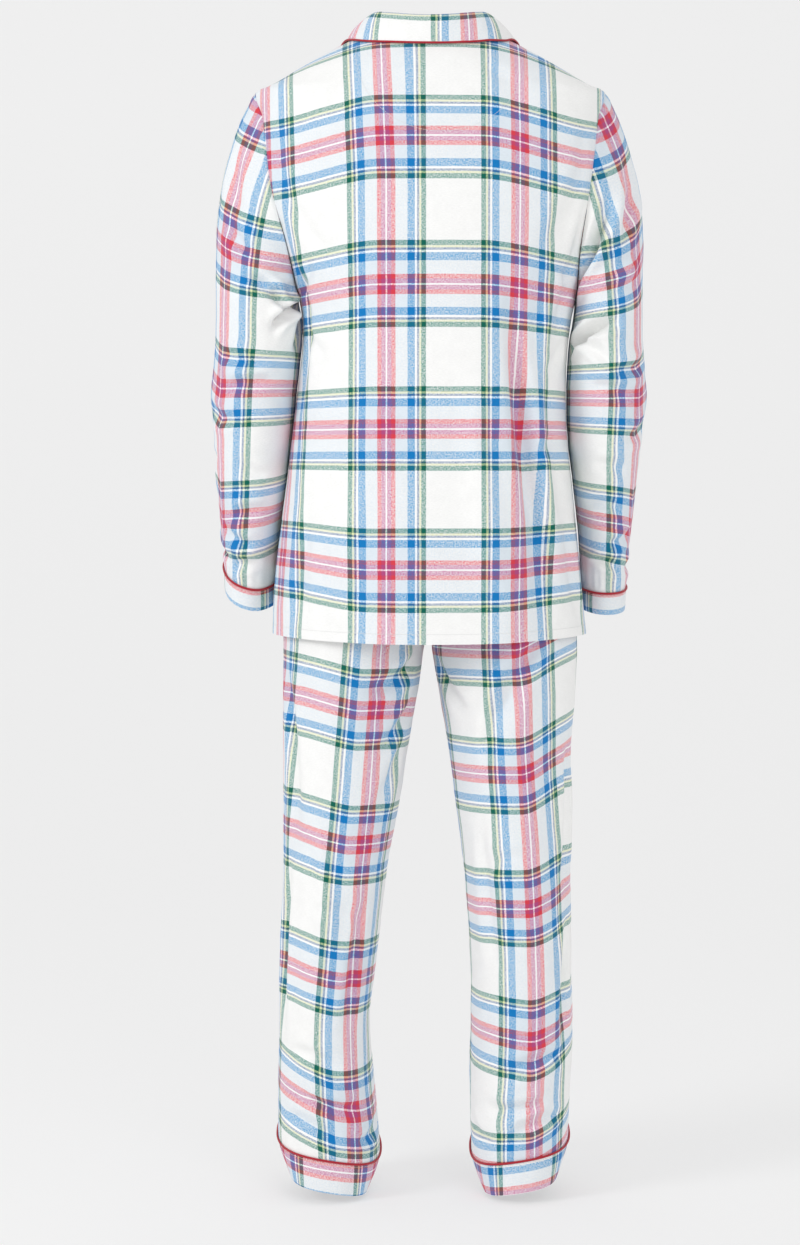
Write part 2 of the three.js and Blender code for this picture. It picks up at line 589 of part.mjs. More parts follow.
function sleevePoint(name, side, around, row) {
  if (row.z !== undefined) return sleeveRingPoint(name, side, around, row.z);
  const start = armholePoint(side, around).place;
  const end = sleeveRingPoint(name, side, around, SLEEVE_TOP_RING);
  const share = (1 - Math.cos(around * DEGREE)) / 2;
  const leave = new THREE.Vector3(side * 0.62 * share, 0.12 * Math.sin(around * DEGREE), -1).normalize();
  const reach = start.distanceTo(end) / 3;
  start.addScaledVector(leave, SEAM_GAP / 2);
  const first = start.clone().addScaledVector(leave, reach);
  const second = end.clone().add(new THREE.Vector3(0, 0, reach));
  return new THREE.CubicBezierCurve3(start, first, second, end).getPoint(row.share);
}

function gridNormals(grid, isTube, centreOf) {
  return grid.map((row, r) => row.map((place, c) => {
    const above = grid[Math.min(grid.length - 1, r + 1)][c];
    const below = grid[Math.max(0, r - 1)][c];
    const count = row.length;
    const next = isTube ? row[(c + 1) % count] : row[Math.min(count - 1, c + 1)];
    const last = isTube ? row[(c + count - 1) % count] : row[Math.max(0, c - 1)];
    const normal = next.clone().sub(last).cross(above.clone().sub(below)).normalize();
    return normal.dot(place.clone().sub(centreOf(r))) < 0 ? normal.negate() : normal;
  }));
}

function ringCentre(row) {
  const sum = new THREE.Vector3();
  for (const place of row) sum.add(place);
  return sum.divideScalar(row.length);
}

function tubeWall(grid, normals, wall, proud) {
  const outer = grid.map((row, r) => row.map((place, c) => place.clone().addScaledVector(normals[r][c], proud)));
  const inner = outer.map((row, r) => row.map((place, c) => place.clone().addScaledVector(normals[r][c], -wall)));
  return wallGeometry(outer, inner, true);
}

function makeSleeve(name, side) {
  const rows = SLEEVE_CAP_SHARES.map((share) => ({ share }));
  for (const z of SLEEVE_LEVELS) rows.push({ z });
  rows.push({ z: CUFF_SEAM[name] + SEAM_GAP / 2 });
  const turns = Array.from({ length: SLEEVE_COLUMNS }, (_, c) => 360 * c / SLEEVE_COLUMNS);
  const grid = rows.map((row) => turns.map((around) => sleevePoint(name, side, around, row)));
  const normals = gridNormals(grid, true, (r) => ringCentre(grid[r]));
  normals[0] = turns.map((around, c) => {
    const body = armholePoint(side, around).normal;
    const own = normals[0][c];
    return own.clone().lerp(body, smooth(own.dot(body) * 1.6)).normalize();
  });
  addPiece(`sleeve_${name}`, tubeWall(grid, normals, WALL, 0), CLOTH);

  const seam = CUFF_SEAM[name];
  const cuffRows = [seam - SEAM_GAP / 2, seam - CUFF_HEIGHT / 2, seam - CUFF_HEIGHT];
  const cuffGrid = cuffRows.map((z) => turns.map((around) => sleeveRingPoint(name, side, around, z)));
  const cuffNormals = gridNormals(cuffGrid, true, (r) => ringCentre(cuffGrid[r]));
  addPiece(`cuff_${name}`, tubeWall(cuffGrid, cuffNormals, BAND_WALL, BAND_PROUD), CLOTH);
  addPiece(`cuff_piping_${name}`, pipingGeometry(pipingPath(cuffGrid[0], cuffNormals[0]), true), CRIMSON);
}

function pipingPath(ring, normals) {
  const lift = BAND_PROUD + PIPING_RADIUS + SEAM_GAP;
  return ring.map((place, c) => ({ place: place.clone().addScaledVector(normals[c], lift), outward: normals[c] }));
}

// Trousers

function legFold(name, around, z) {
  let sum = 0;
  for (const fold of LEG_FOLDS[name]) {
    const reach = (around - fold.round) / fold.across;
    sum += fold.depth * Math.exp(-(reach ** 2) - ((z - fold.z) / fold.along) ** 2);
  }
  return sum;
}

// A point of one leg's outer face: share 0 is the outer seam, 1 the inner or middle seam by way of
// the back, -1 the same seam by way of the front.
function legPoint(name, share, level) {
  const ring = readTable(TROUSER_RINGS, 'z', level);
  const side = name === 'left' ? 1 : -1;
  const out = name === 'left' ? ring.outL : ring.outR;
  const low = level < CROTCH_LEVEL;
  const inside = Math.max(SEAM_GAP / 2, name === 'left' ? ring.inL : ring.inR);
  const split = clamp01(ring.split);
  const half = low ? (out - inside) / 2 : (out - SEAM_GAP / 2) / (1 + split);
  const centre = out - half;
  const end = low ? 180 : 180 - Math.acos(split ** (TROUSER_POWER / 2)) / DEGREE;
  const around = share * end;
  const cosine = signedPower(Math.cos(around * DEGREE), 2 / TROUSER_POWER);
  const sine = signedPower(Math.sin(around * DEGREE), 2 / TROUSER_POWER);
  const fold = legFold(name, share * 180, level) * Math.sin(Math.abs(share) * Math.PI) ** 0.5;
  const dy = ((sine >= 0 ? ring.back : ring.front) + fold) * sine;
  const dx = (half + fold * 0.6) * cosine;
  const hem = smooth((HEM_SLOPE_START - level) / (HEM_SLOPE_START - HEM_SEAM));
  return new THREE.Vector3(side * (centre + dx), ring.middle + dy,
    level + hem * (HEM_SLOPE * dy + HEM_LEAN * dx));
}

function legNormal(name, share, level) {
  const side = name === 'left' ? 1 : -1;
  const ring = readTable(TROUSER_RINGS, 'z', level);
  if (level > CROTCH_LEVEL && Math.abs(share) > 0.999) {
    const turned = clamp01(ring.split) ** 4;
    return new THREE.Vector3(-side * turned, Math.sign(share) * (1 - turned), 0).normalize();
  }
  const at = (u, v) => legPoint(name, u, v);
  const centre = legPoint(name, 0, level).add(legPoint(name, 0.999, level)).multiplyScalar(0.5);
  centre.y = ring.middle;
  const place = legPoint(name, share, level);
  const clear = level > CROTCH_LEVEL ? Math.min(1, (level - CROTCH_LEVEL) / 2) : 1;
  return normalOf(at, Math.max(-0.999, Math.min(0.999, share)), level, 0.001, clear, place.sub(centre));
}

function legPanel(name, face) {
  const outer = [];
  const inner = [];
  const gapShare = SEAM_GAP / 2 / LEG_HALF_GIRTH;
  for (const level of TROUSER_LEVELS) {
    const z = level === HEM_SEAM ? level + SEAM_GAP / 2 : level;
    const outerRow = [];
    const innerRow = [];
    for (let c = 0; c <= LEG_PANEL_COLUMNS; c++) {
      let share = c / LEG_PANEL_COLUMNS;
      if (c === 0) share = gapShare;
      if (c === LEG_PANEL_COLUMNS) share = level > CROTCH_LEVEL ? 1 : 1 - gapShare;
      const place = legPoint(name, face * share, z);
      const normal = legNormal(name, face * (c === LEG_PANEL_COLUMNS ? 1 : share), z);
      outerRow.push(place);
      innerRow.push(place.clone().addScaledVector(normal, -WALL));
    }
    outer.push(outerRow);
    inner.push(innerRow);
  }
  const piece = face > 0 ? `trouser_back_${name}` : `trouser_front_${name}`;
  addPiece(piece, wallGeometry(outer, inner, false), CLOTH);
}

function makeHem(name) {
  const shares = Array.from({ length: BAND_COLUMNS }, (_, c) => {
    const share = 2 * c / BAND_COLUMNS;
    return share > 1 ? share - 2 : share;
  });
  const levels = [HEM_SEAM - SEAM_GAP / 2, HEM_SEAM - HEM_HEIGHT / 2, HEM_SEAM - HEM_HEIGHT];
  const grid = levels.map((level) => shares.map((share) => legPoint(name, share, level)));
  const normals = gridNormals(grid, true, (r) => ringCentre(grid[r]));
  addPiece(`hem_band_${name}`, tubeWall(grid, normals, BAND_WALL, BAND_PROUD), CLOTH);
  addPiece(`hem_piping_${name}`, pipingGeometry(pipingPath(grid[0], normals[0]), true), CRIMSON);
}

function makeWaistband() {
  const seatRing = [];
  for (const [name, turn] of [['left', 1], ['right', -1]]) {
    for (let c = 0; c < BAND_COLUMNS; c++) {
      const place = legPoint(name, turn * (1 - 2 * c / BAND_COLUMNS), TROUSER_TOP);
      if (c === 0) place.x = 0;
      seatRing.push(place);
    }
  }
  const grid = [TROUSER_TOP + SEAM_GAP, (TROUSER_TOP + WAISTBAND_TOP) / 2, WAISTBAND_TOP].map((z) => (
    seatRing.map((place) => new THREE.Vector3(place.x, place.y, z))));
  const normals = gridNormals(grid, true, (r) => ringCentre(grid[r]));
  addPiece('waistband', tubeWall(grid, normals, WAISTBAND_WALL, BAND_PROUD), CLOTH);
}

makeShirtBody();
makeLapel('lapel_left', 1);
makeLapel('lapel_right', -1);
makeCollar();
makeButtons();
makeSleeve('left', 1);
makeSleeve('right', -1);
makeWaistband();
for (const name of ['left', 'right']) {
  legPanel(name, 1);
  legPanel(name, -1);
  makeHem(name);
}

export default pyjamas;
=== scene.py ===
# Pyjama set in worn form: plaid cloth, crimson piping and buttons, dressed on its fixed frame.
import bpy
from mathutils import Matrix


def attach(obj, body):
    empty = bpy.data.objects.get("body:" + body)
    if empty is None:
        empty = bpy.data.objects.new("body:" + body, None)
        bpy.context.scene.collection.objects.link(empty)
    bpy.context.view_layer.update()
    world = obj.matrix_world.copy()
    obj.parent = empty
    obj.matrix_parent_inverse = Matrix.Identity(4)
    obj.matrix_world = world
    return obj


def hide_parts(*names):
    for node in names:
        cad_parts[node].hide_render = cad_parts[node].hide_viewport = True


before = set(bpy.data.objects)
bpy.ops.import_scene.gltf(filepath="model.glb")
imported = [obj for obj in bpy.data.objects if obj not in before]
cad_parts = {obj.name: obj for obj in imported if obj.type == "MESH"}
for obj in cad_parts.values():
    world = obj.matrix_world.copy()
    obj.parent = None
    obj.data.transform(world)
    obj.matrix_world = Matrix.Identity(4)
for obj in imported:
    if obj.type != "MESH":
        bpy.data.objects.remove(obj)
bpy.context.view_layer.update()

import math

import bmesh
import bpy
import numpy as np
from bpy.props import FloatProperty, FloatVectorProperty, PointerProperty
from mathutils import Matrix, Vector

bl_info = {
    "name": "Pyjama set",
    "version": (1, 0, 0),
    "blender": (4, 5, 0),
    "location": "3D View > Sidebar > Pyjamas",
    "description": "Dresses a hollow plaid pyjama set, with piping, buttons and stitching",
    "category": "Add Mesh",
}

# Tables and shapes are in millimetres, as the frame was drawn, and become metres in the meshes.
MM = 0.001
DEGREE = math.pi / 180

# Levels of the shirt
BACK_NECK_DROP = 12
SHOULDER_TIP = -82
UNDERARM = -345
SHIRT_HEM = -786
SIDE_HEM_RISE = 8
HEM_CURVE_START = -700
LAPEL_BREAK = -165
ARMHOLE_SWING = 28
ARMHOLE_ROUNDNESS = 0.6

# Front opening, measured across from the middle
FRONT_OVERLAP = 14
NECK_EDGE_WIDTH = 70
OVERLAP_LIFT = 2.2
OVERLAP_FULL = 18
OVERLAP_START = 48
OVERLAP_TOP = -137
OVERLAP_FADE = 45

SLEEVE_POWER = 2.2
SLEEVE_TOP_RING = -400
CUFF_SEAM = {"left": -700, "right": -719}
CUFF_HEIGHT = 28
TROUSER_POWER = 2.25
TROUSER_TOP = -478
WAISTBAND_TOP = -440
CROTCH = -760
HEM_SEAM = -1428
HEM_HEIGHT = 43
HEM_TAPER = 13
HEM_DROP_START = -1290
HEM_SLOPE_START = -1230
HEM_SLOPE = -0.28
HEM_LEAN = 0.13
SIDES = (("left", 1), ("right", -1))


def table(columns, *rows):
    """Makes a table of named columns, the first of which is its key."""
    names = columns.split()
    return {name: np.array([row[i] for row in rows], float) for i, name in enumerate(names)}


SHIRT_RINGS = table(
    "z left right back front power",
    (-786, 204.5, 203, 150, 140, 2.3),
    (-736, 203, 198, 149, 140, 2.3),
    (-684, 199, 193.5, 147, 139, 2.35),
    (-632, 192, 188.5, 144, 138, 2.4),
    (-580, 185, 183, 140, 137, 2.4),
    (-528, 179.5, 177.5, 136, 136, 2.4),
    (-463, 171.5, 175.5, 131, 134, 2.4),
    (-411, 165.5, 177.5, 128, 133, 2.4),
    (-370, 166, 183, 127, 131, 2.4),
    (-345, 170, 188, 127, 130, 2.4),
    (-280, 184, 192, 126, 126, 2.35),
    (-210, 203, 203, 121, 119, 2.3),
    (-150, 211, 211, 113, 110, 2.2),
    (-115, 216, 216, 105, 101, 2.15),
    (-82, 225, 225, 95, 91, 2.1),
    (-73, 205, 205, 92, 87, 2.1),
    (-47, 161, 161, 83, 76, 2.05),
    (-21, 113, 113, 72, 64, 2),
    (0, 76, 76, 62, 54, 2),
)

SHIRT_FOLDS = table(
    "face top bottom x_top x_bottom width depth",
    (1, -250, -786, -98, -146, 26, -7),
    (1, -330, -786, -62, -96, 30, 4),
    (1, -200, -620, 140, 118, 24, -5),
    (1, -420, -786, 60, 72, 34, 3),
    (-1, -220, -786, 104, 128, 28, -6),
    (-1, -260, -786, -96, -122, 28, -6),
)

SLEEVE_COLUMNS = "z inner outer middle half slope lean"
SLEEVE_RINGS = {
    "left": table(
        SLEEVE_COLUMNS,
        (-400, 168.5, 277, 2, 76, 0, 0),
        (-476, 176.5, 281, 0, 72, -0.05, 0),
        (-541, 185, 279, -8, 66, -0.15, 0.05),
        (-606, 193.5, 276, -18, 59, -0.25, 0.12),
        (-660, 203, 273, -30, 52, -0.36, 0.2),
        (-700, 208.5, 270, -40, 46, -0.45, 0.28),
        (-735, 210, 269, -49, 46, -0.45, 0.28),
    ),
    "right": table(
        SLEEVE_COLUMNS,
        (-400, 182, 274, 4, 76, 0, 0),
        (-476, 180, 277, 2, 72, -0.04, 0),
        (-541, 182.5, 272, -5, 66, -0.08, 0),
        (-606, 190.5, 266, -13, 59, -0.12, 0),
        (-670, 198.5, 260, -24, 52, -0.16, 0),
        (-719, 203, 257, -33, 46, -0.18, 0),
        (-754, 204, 256, -40, 46, -0.18, 0),
    ),
}

SLEEVE_FOLDS = table(
    "round z across along depth",
    (60, -392, 46, 20, -7),
    (110, -432, 44, 20, 4),
    (200, -470, 50, 26, 4),
    (75, -640, 46, 22, 4),
    (120, -676, 46, 18, -4),
    (285, -468, 50, 22, -6),
)

TROUSER_RINGS = table(
    "z outer_left outer_right inner_left inner_right middle back front split",
    (-478, 166, 166, 0, 0, 0, 112, 108, 0),
    (-560, 180, 177, 0, 0, 0, 121, 112, 0.1),
    (-640, 187, 183, 0, 0, 0, 125, 112, 0.3),
    (-700, 190, 187, 0, 0, 0, 122, 110, 0.56),
    (-738, 191, 189, 0, 0, 0, 118, 108, 0.82),
    (-760, 191, 190, 1, 1, 0, 116, 106, 1),
    (-800, 191, 191, 8, 3, 1, 112, 103, 1),
    (-860, 191, 188, 17, 13, 3, 106, 98, 1),
    (-931, 191, 183, 29, 25, 5, 99, 91, 1),
    (-1000, 191, 183, 40, 34, 7, 93, 85, 1),
    (-1070, 191, 183, 53, 43, 8, 88, 80, 1),
    (-1140, 192, 184, 62, 49, 8, 85, 77, 1),
    (-1210, 194, 185, 70, 53, 6, 83, 75, 1),
    (-1282, 196, 187, 78, 53, 3, 82, 75, 1),
    (-1350, 198, 185, 73, 52, 0, 82, 77, 1),
    (-1428, 199, 182, 65, 54, -2, 80, 80, 1),
    (-1475, 197, 181, 67, 56, -2, 78, 80, 1),
)

LEG_FOLDS = {
    "left": table(
        "round z across along depth",
        (42, -1000, 20, 210, -6),
        (120, -860, 24, 90, -6),
        (78, -1180, 24, 120, 4),
        (70, -1372, 44, 18, -6),
        (118, -1330, 44, 18, 5),
        (-60, -1120, 26, 220, -6),
        (-90, -1386, 54, 18, -7),
        (-90, -1345, 60, 20, 5),
    ),
    "right": table(
        "round z across along depth",
        (52, -950, 22, 120, -6),
        (30, -1130, 22, 150, -5),
        (100, -1060, 26, 160, 4),
        (80, -1376, 44, 18, -6),
        (50, -1334, 44, 18, 5),
        (-60, -1090, 26, 220, -6),
        (-95, -1384, 54, 18, -7),
        (-85, -1343, 60, 20, 5),
    ),
}

COLLAR_TABLE = table(
    "at edge_turn edge_level stand upright",
    (0, 0, -20, 20.5, 1),
    (0.3, 46, -19.5, 20, 1),
    (0.52, 84, -18, 17, 0.8),
    (0.68, 114, -28, 13, 0.5),
    (0.84, 142, -54, 8, 0.2),
    (1, 153, -73, 4, 0),
)
NECK_CORNER_AT = 0.68
COLLAR_FRONT_LEVEL = -58

# Small creases, from one end to the other: round in degrees and level, how far the middle
# bows aside, half width and depth, a trough where the depth is negative.
CREASE_COLUMNS = "a0 z0 a1 z1 bow width depth"
SHIRT_CREASES = table(
    CREASE_COLUMNS,
    # the long soft fold down the right of the back, and the ridges beside it
    (-25, -300, -42, -786, -10, 13, -7.5),
    (-38, -360, -54, -786, -8, 16, 4.5),
    (-14, -420, -24, -740, 8, 15, 2.4),
    # pulls from the shoulder blades and armholes
    (58, -120, 34, -330, 12, 13, -2.6),
    (-58, -120, -38, -310, -10, 13, -3),
    (76, -345, 50, -300, 6, 9, -3.2),
    (-76, -345, -48, -290, -6, 9, -3.4),
    (70, -380, 44, -430, 8, 10, -2.4),
    (-70, -390, -52, -450, -8, 10, -2.6),
    (-66, -130, -61, -480, 3, 12, -4),
    (-50, -300, -51, -560, 3, 12, 2.5),
    (66, -210, 72, -520, -3, 11, -3.4),
    # across the small of the back
    (30, -470, -6, -486, 7, 12, -1.6),
    (62, -500, 36, -520, 6, 11, -2),
    (-60, -520, -40, -548, -6, 11, -2.2),
    # flare at the hem
    (16, -560, 20, -786, 4, 17, -2.4),
    (52, -600, 56, -786, -5, 14, -3.4),
    (-66, -600, -70, -786, 5, 14, -3.6),
    (2, -620, -2, -786, 3, 18, 1.6),
    # under the collar
    (22, -40, 30, -150, 5, 14, -1.4),
    (-20, -40, -30, -140, -5, 14, -1.4),
    # the fronts
    (126, -130, 152, -330, -12, 13, -3),
    (-128, -130, -150, -320, 12, 13, -3),
    (106, -345, 134, -300, 8, 9, -3.2),
    (-106, -345, -132, -296, -8, 9, -3.2),
    (116, -400, 140, -470, 8, 11, -2.4),
    (-118, -410, -142, -480, -8, 11, -2.4),
    (140, -520, 132, -786, 8, 15, -4),
    (-142, -500, -136, -786, -8, 15, -4),
    (158, -600, 156, -786, 4, 14, 2.4),
    (-160, -560, -158, -786, -4, 14, 2.4),
)

SLEEVE_CREASES = {
    "left": table(
        CREASE_COLUMNS,
        (12, -285, 22, -425, 2, 10, -11),
        (16, -352, 74, -394, 6, 7, -10),
        (24, -318, 90, -350, 7, 9, 3),
        (40, -380, 112, -318, 10, 8, -6.5),
        (24, -300, 72, -196, -14, 9, -6),
        (88, -300, 140, -236, -10, 10, -3.6),
        (150, -150, 110, -262, 10, 12, -2.6),
        (196, -130, 214, -300, -8, 14, -2.4),
        (60, -430, 140, -410, -9, 9, -3.6),
        (54, -456, 130, -470, 10, 9, -3.4),
        (96, -500, 176, -478, -8, 10, -2.6),
        (150, -540, 206, -600, 10, 11, -2.2),
        (52, -560, 110, -540, -8, 9, -2.6),
        (44, -604, 128, -622, 9, 8, -3.4),
        (64, -640, 150, -630, -8, 8, -3.4),
        (50, -668, 126, -684, 7, 7, -3.6),
        (130, -672, 210, -660, -6, 8, -2.8),
        (250, -460, 330, -474, 10, 9, -4.2),
        (236, -430, 316, -428, -9, 9, -3.4),
        (240, -500, 320, -520, 9, 9, -3),
        (220, -640, 320, -652, -8, 8, -3),
        (250, -330, 340, -352, 10, 9, -3.8),
        (300, -640, 350, -610, -5, 8, -2.6),
    ),
    "right": table(
        CREASE_COLUMNS,
        (8, -362, 116, -212, -12, 8, -12),
        (8, -420, 112, -378, 8, 8, -12),
        (30, -400, 100, -440, 7, 8, -5),
        (60, -330, 150, -300, -9, 10, 4),
        (120, -290, 160, -200, 6, 10, -4),
        (150, -150, 124, -270, 10, 12, -3),
        (190, -140, 206, -330, -8, 14, -2.6),
        (80, -436, 160, -424, -9, 9, -4),
        (50, -462, 120, -480, 10, 9, -3.2),
        (100, -520, 180, -500, -8, 10, -2.8),
        (60, -556, 130, -574, 8, 9, -3),
        (36, -606, 124, -618, 9, 8, -3.8),
        (70, -650, 160, -640, -8, 8, -3.4),
        (40, -676, 130, -694, 7, 7, -3.8),
        (140, -690, 214, -676, -6, 8, -2.8),
        (250, -462, 330, -476, 10, 9, -4.2),
        (236, -432, 316, -430, -9, 9, -3.4),
        (240, -504, 320, -524, 9, 9, -3),
        (220, -650, 320, -662, -8, 8, -3),
        (250, -330, 340, -352, 10, 9, -3.8),
    ),
}

LEG_CREASES = {
    "left": table(
        CREASE_COLUMNS,
        (160, -790, 96, -850, 14, 12, -4.2),
        (164, -840, 112, -930, 12, 11, -3.6),
        (150, -900, 120, -1010, 8, 12, -2.6),
        (18, -800, 40, -1060, 12, 13, -3.6),
        (34, -1040, 30, -1330, -10, 13, -3.6),
        (70, -1010, 84, -1200, 8, 15, 2.4),
        (128, -1090, 120, -1300, -8, 12, -2.8),
        (40, -1310, 118, -1336, 12, 9, -3.4),
        (58, -1352, 140, -1362, -9, 8, -4),
        (30, -1386, 108, -1404, 8, 8, -3.8),
        (120, -1400, 168, -1384, -6, 8, -3),
        (60, -1130, 132, -1150, 10, 11, -1.8),
        (-160, -800, -100, -860, -14, 12, -4),
        (-150, -860, -110, -960, -10, 11, -3.2),
        (-40, -1040, -34, -1300, 10, 13, -3.4),
        (-60, -1150, -130, -1170, -10, 11, -2.6),
        (-50, -1330, -140, -1344, -10, 9, -5),
        (-40, -1366, -146, -1372, 9, 9, -5),
        (-60, -1402, -130, -1408, -7, 8, -4),
    ),
    "right": table(
        CREASE_COLUMNS,
        (60, -770, 96, -900, 14, 12, -5),
        (84, -830, 110, -960, 10, 13, -3),
        (158, -800, 122, -880, 12, 11, -3.4),
        (26, -900, 34, -1120, -9, 12, -4),
        (22, -1130, 40, -1320, 9, 12, -3.2),
        (124, -1000, 116, -1230, 9, 14, -2.4),
        (76, -1060, 130, -1084, 9, 12, -1.8),
        (36, -1316, 116, -1338, 11, 9, -3.4),
        (60, -1356, 138, -1362, -9, 8, -4),
        (34, -1386, 112, -1402, 8, 8, -3.8),
        (116, -1396, 166, -1382, -6, 8, -3),
        (-160, -800, -100, -860, -14, 12, -4),
        (-150, -860, -110, -960, -10, 11, -3.2),
        (-40, -1020, -34, -1290, 10, 13, -3.4),
        (-60, -1150, -130, -1166, -10, 11, -2.6),
        (-50, -1326, -140, -1342, -10, 9, -5),
        (-40, -1364, -146, -1370, 9, 9, -5),
        (-60, -1400, -130, -1406, -7, 8, -4),
    ),
}

# Where the middle of each group of stripes lies: across the cloth, from the middle of the piece,
# and down it, one level for each group.
BACK_GROUPS = {"across": 56, "levels": (-693, -517, -336, -149)}
FRONT_GROUPS = {"across": 52, "levels": (-693, -517, -336, -149)}
SLEEVE_GROUPS = {
    "left": {"across": 48, "levels": (-627, -462, -285)},
    "right": {"across": 47, "levels": (-638, -474, -311)},
}
LEG_GROUPS = {
    "left": {"across": -38, "levels": (-1368, -1221, -1045, -873)},
    "right": {"across": 16, "levels": (-1438, -1295, -1127, -954, -795)},
}
# How far a leg's stripes rise towards its outside, beyond the start, and its inside.
LEG_TILTS = {
    "left": table(
        "z start outside inside",
        (-1428, 20, 0.3, 0),
        (-1200, 20, 0.35, 0),
        (-478, 20, 0.35, 0),
    ),
    "right": table(
        "z start outside inside",
        (-1428, -8, 0.36, 0.1),
        (-1290, -8, 0.43, 0.2),
        (-1127, -8, 0.46, 0),
        (-1000, -8, 0.54, 0),
        (-800, -8, 0.58, 0),
        (-478, -8, 0.5, 0),
    ),
}
# How far a sleeve's stripes rise towards the outside and inside of each group of stripes.
SLEEVE_TILTS = {
    "left": table(
        "z outside inside",
        (-700, 0.3, 0.4),
        (-627, 0.35, 0.35),
        (-462, 0.4, 0),
        (-285, 0.5, -0.42),
        (-90, 0.5, -0.42),
    ),
    "right": table(
        "z outside inside",
        (-700, 0.3, 0.3),
        (-638, 0.3, 0.3),
        (-474, 0.35, 0),
        (-311, 0.8, -0.5),
        (-90, 0.7, -0.5),
    ),
}
CUFF_TOP_FROM_GROUP = {"left": -5, "right": -7}
HEM_TOP_FROM_GROUP = {"left": 13, "right": 44}
HEM_BAND_ACROSS = {"left": -86, "right": -76}
COLLAR_GROUPS = {"across": -50, "above_fold": 40}


def read(rows, value):
    """Reads every column of a table at these key values, on a smooth curve through its rows."""
    names = list(rows)
    order = 1 if rows[names[0]][-1] > rows[names[0]][0] else -1
    x = rows[names[0]][::order]
    value = np.clip(value, x[0], x[-1])
    i = np.clip(np.searchsorted(x, value, side="right") - 1, 0, len(x) - 2)
    before = np.maximum(i - 1, 0)
    after = np.minimum(i + 2, len(x) - 1)
    span = x[i + 1] - x[i]
    s = (value - x[i]) / span
    out = {}
    for name in names:
        y = rows[name][::order]
        slope_a = (y[i + 1] - y[before]) / (x[i + 1] - x[before]) * span
        slope_b = (y[after] - y[i]) / (x[after] - x[i]) * span
        out[name] = (
            (2 * s**3 - 3 * s**2 + 1) * y[i]
            + (s**3 - 2 * s**2 + s) * slope_a
            + (3 * s**2 - 2 * s**3) * y[i + 1]
            + (s**3 - s**2) * slope_b
        )
    return out


def smooth(value):
    """Eases from 0 to 1."""
    x = np.clip(value, 0, 1)
    return x * x * (3 - 2 * x)


def signed_power(value, power):
    """Raises a number's size to a power and keeps its sign."""
    return np.sign(value) * np.abs(value) ** power


def unit(vectors):
    """Scales vectors to length one."""
    return vectors / np.maximum(np.linalg.norm(vectors, axis=-1, keepdims=True), 1e-12)


def rows_of(rows):
    """Gives each row of a table as a dictionary of plain numbers."""
    names = list(rows)
    for values in zip(*(rows[name] for name in names)):
        yield dict(zip(names, map(float, values)))


def creases(rows, around, level, mm_per_degree):
    """Adds up a table of creases over a surface: soft troughs or ridges with a low bank each side."""
    total = np.zeros(np.broadcast(around, level).shape)
    for row in rows_of(rows):
        middle = (row["a0"] + row["a1"]) / 2
        offset = (around - middle + 540) % 360 - 180
        run = np.array([(row["a1"] - row["a0"]) * mm_per_degree, row["z1"] - row["z0"]])
        x = offset * mm_per_degree + run[0] / 2
        y = level - row["z0"]
        length = float(np.hypot(*run))
        s = (x * run[0] + y * run[1]) / length**2
        aside = (y * run[0] - x * run[1]) / length - row["bow"] * 4 * s * (1 - s)
        ends = smooth(s / 0.35) * smooth((1 - s) / 0.35)
        width = row["width"] * (0.6 + 0.42 * s)
        trough = np.exp(-((aside / width) ** 2))
        banks = np.exp(-(((np.abs(aside) - 1.9 * width) / width) ** 2))
        total += row["depth"] * ends * (trough - 0.4 * banks)
    return total


def broad_folds(rows, around, level, wraps):
    """Adds up a table of broad folds, each a soft hill or dip about its place."""
    total = np.zeros(around.shape)
    for row in rows_of(rows):
        offset = around - row["round"]
        if wraps:
            offset = (offset + 540) % 360 - 180
        reach = (offset / row["across"]) ** 2 + ((level - row["z"]) / row["along"]) ** 2
        total += row["depth"] * np.exp(-reach)
    return total


def unevenness(x, y, seed, size):
    """A slight, slow waviness that keeps any cloth from lying dead flat."""
    phase = 1.7 * seed
    wave = np.sin(x / 31 + y / 57 + phase) * np.sin(y / 43 - x / 71 + 2.1 * phase)
    wave += 0.6 * np.sin(x / 17 - y / 23 + 3.3 * phase) * np.sin(y / 19 + x / 29 + phase)
    wave += 0.3 * np.sin(x / 9 + y / 13 + phase) * np.sin(y / 8 - x / 14 + 4.2 * phase)
    return size * wave


# Surfaces


def armhole_swing(level):
    """How far the armhole seam swings from the side towards the back or front, in degrees."""
    share = np.clip((level - UNDERARM) / (SHOULDER_TIP - UNDERARM), 0, 1)
    return ARMHOLE_SWING * np.sin(np.pi * share) ** ARMHOLE_ROUNDNESS


def ring_widening(level, power):
    """How much wider than its armhole seam a ring runs."""
    return np.cos(armhole_swing(level) * DEGREE) ** (-2 / power)


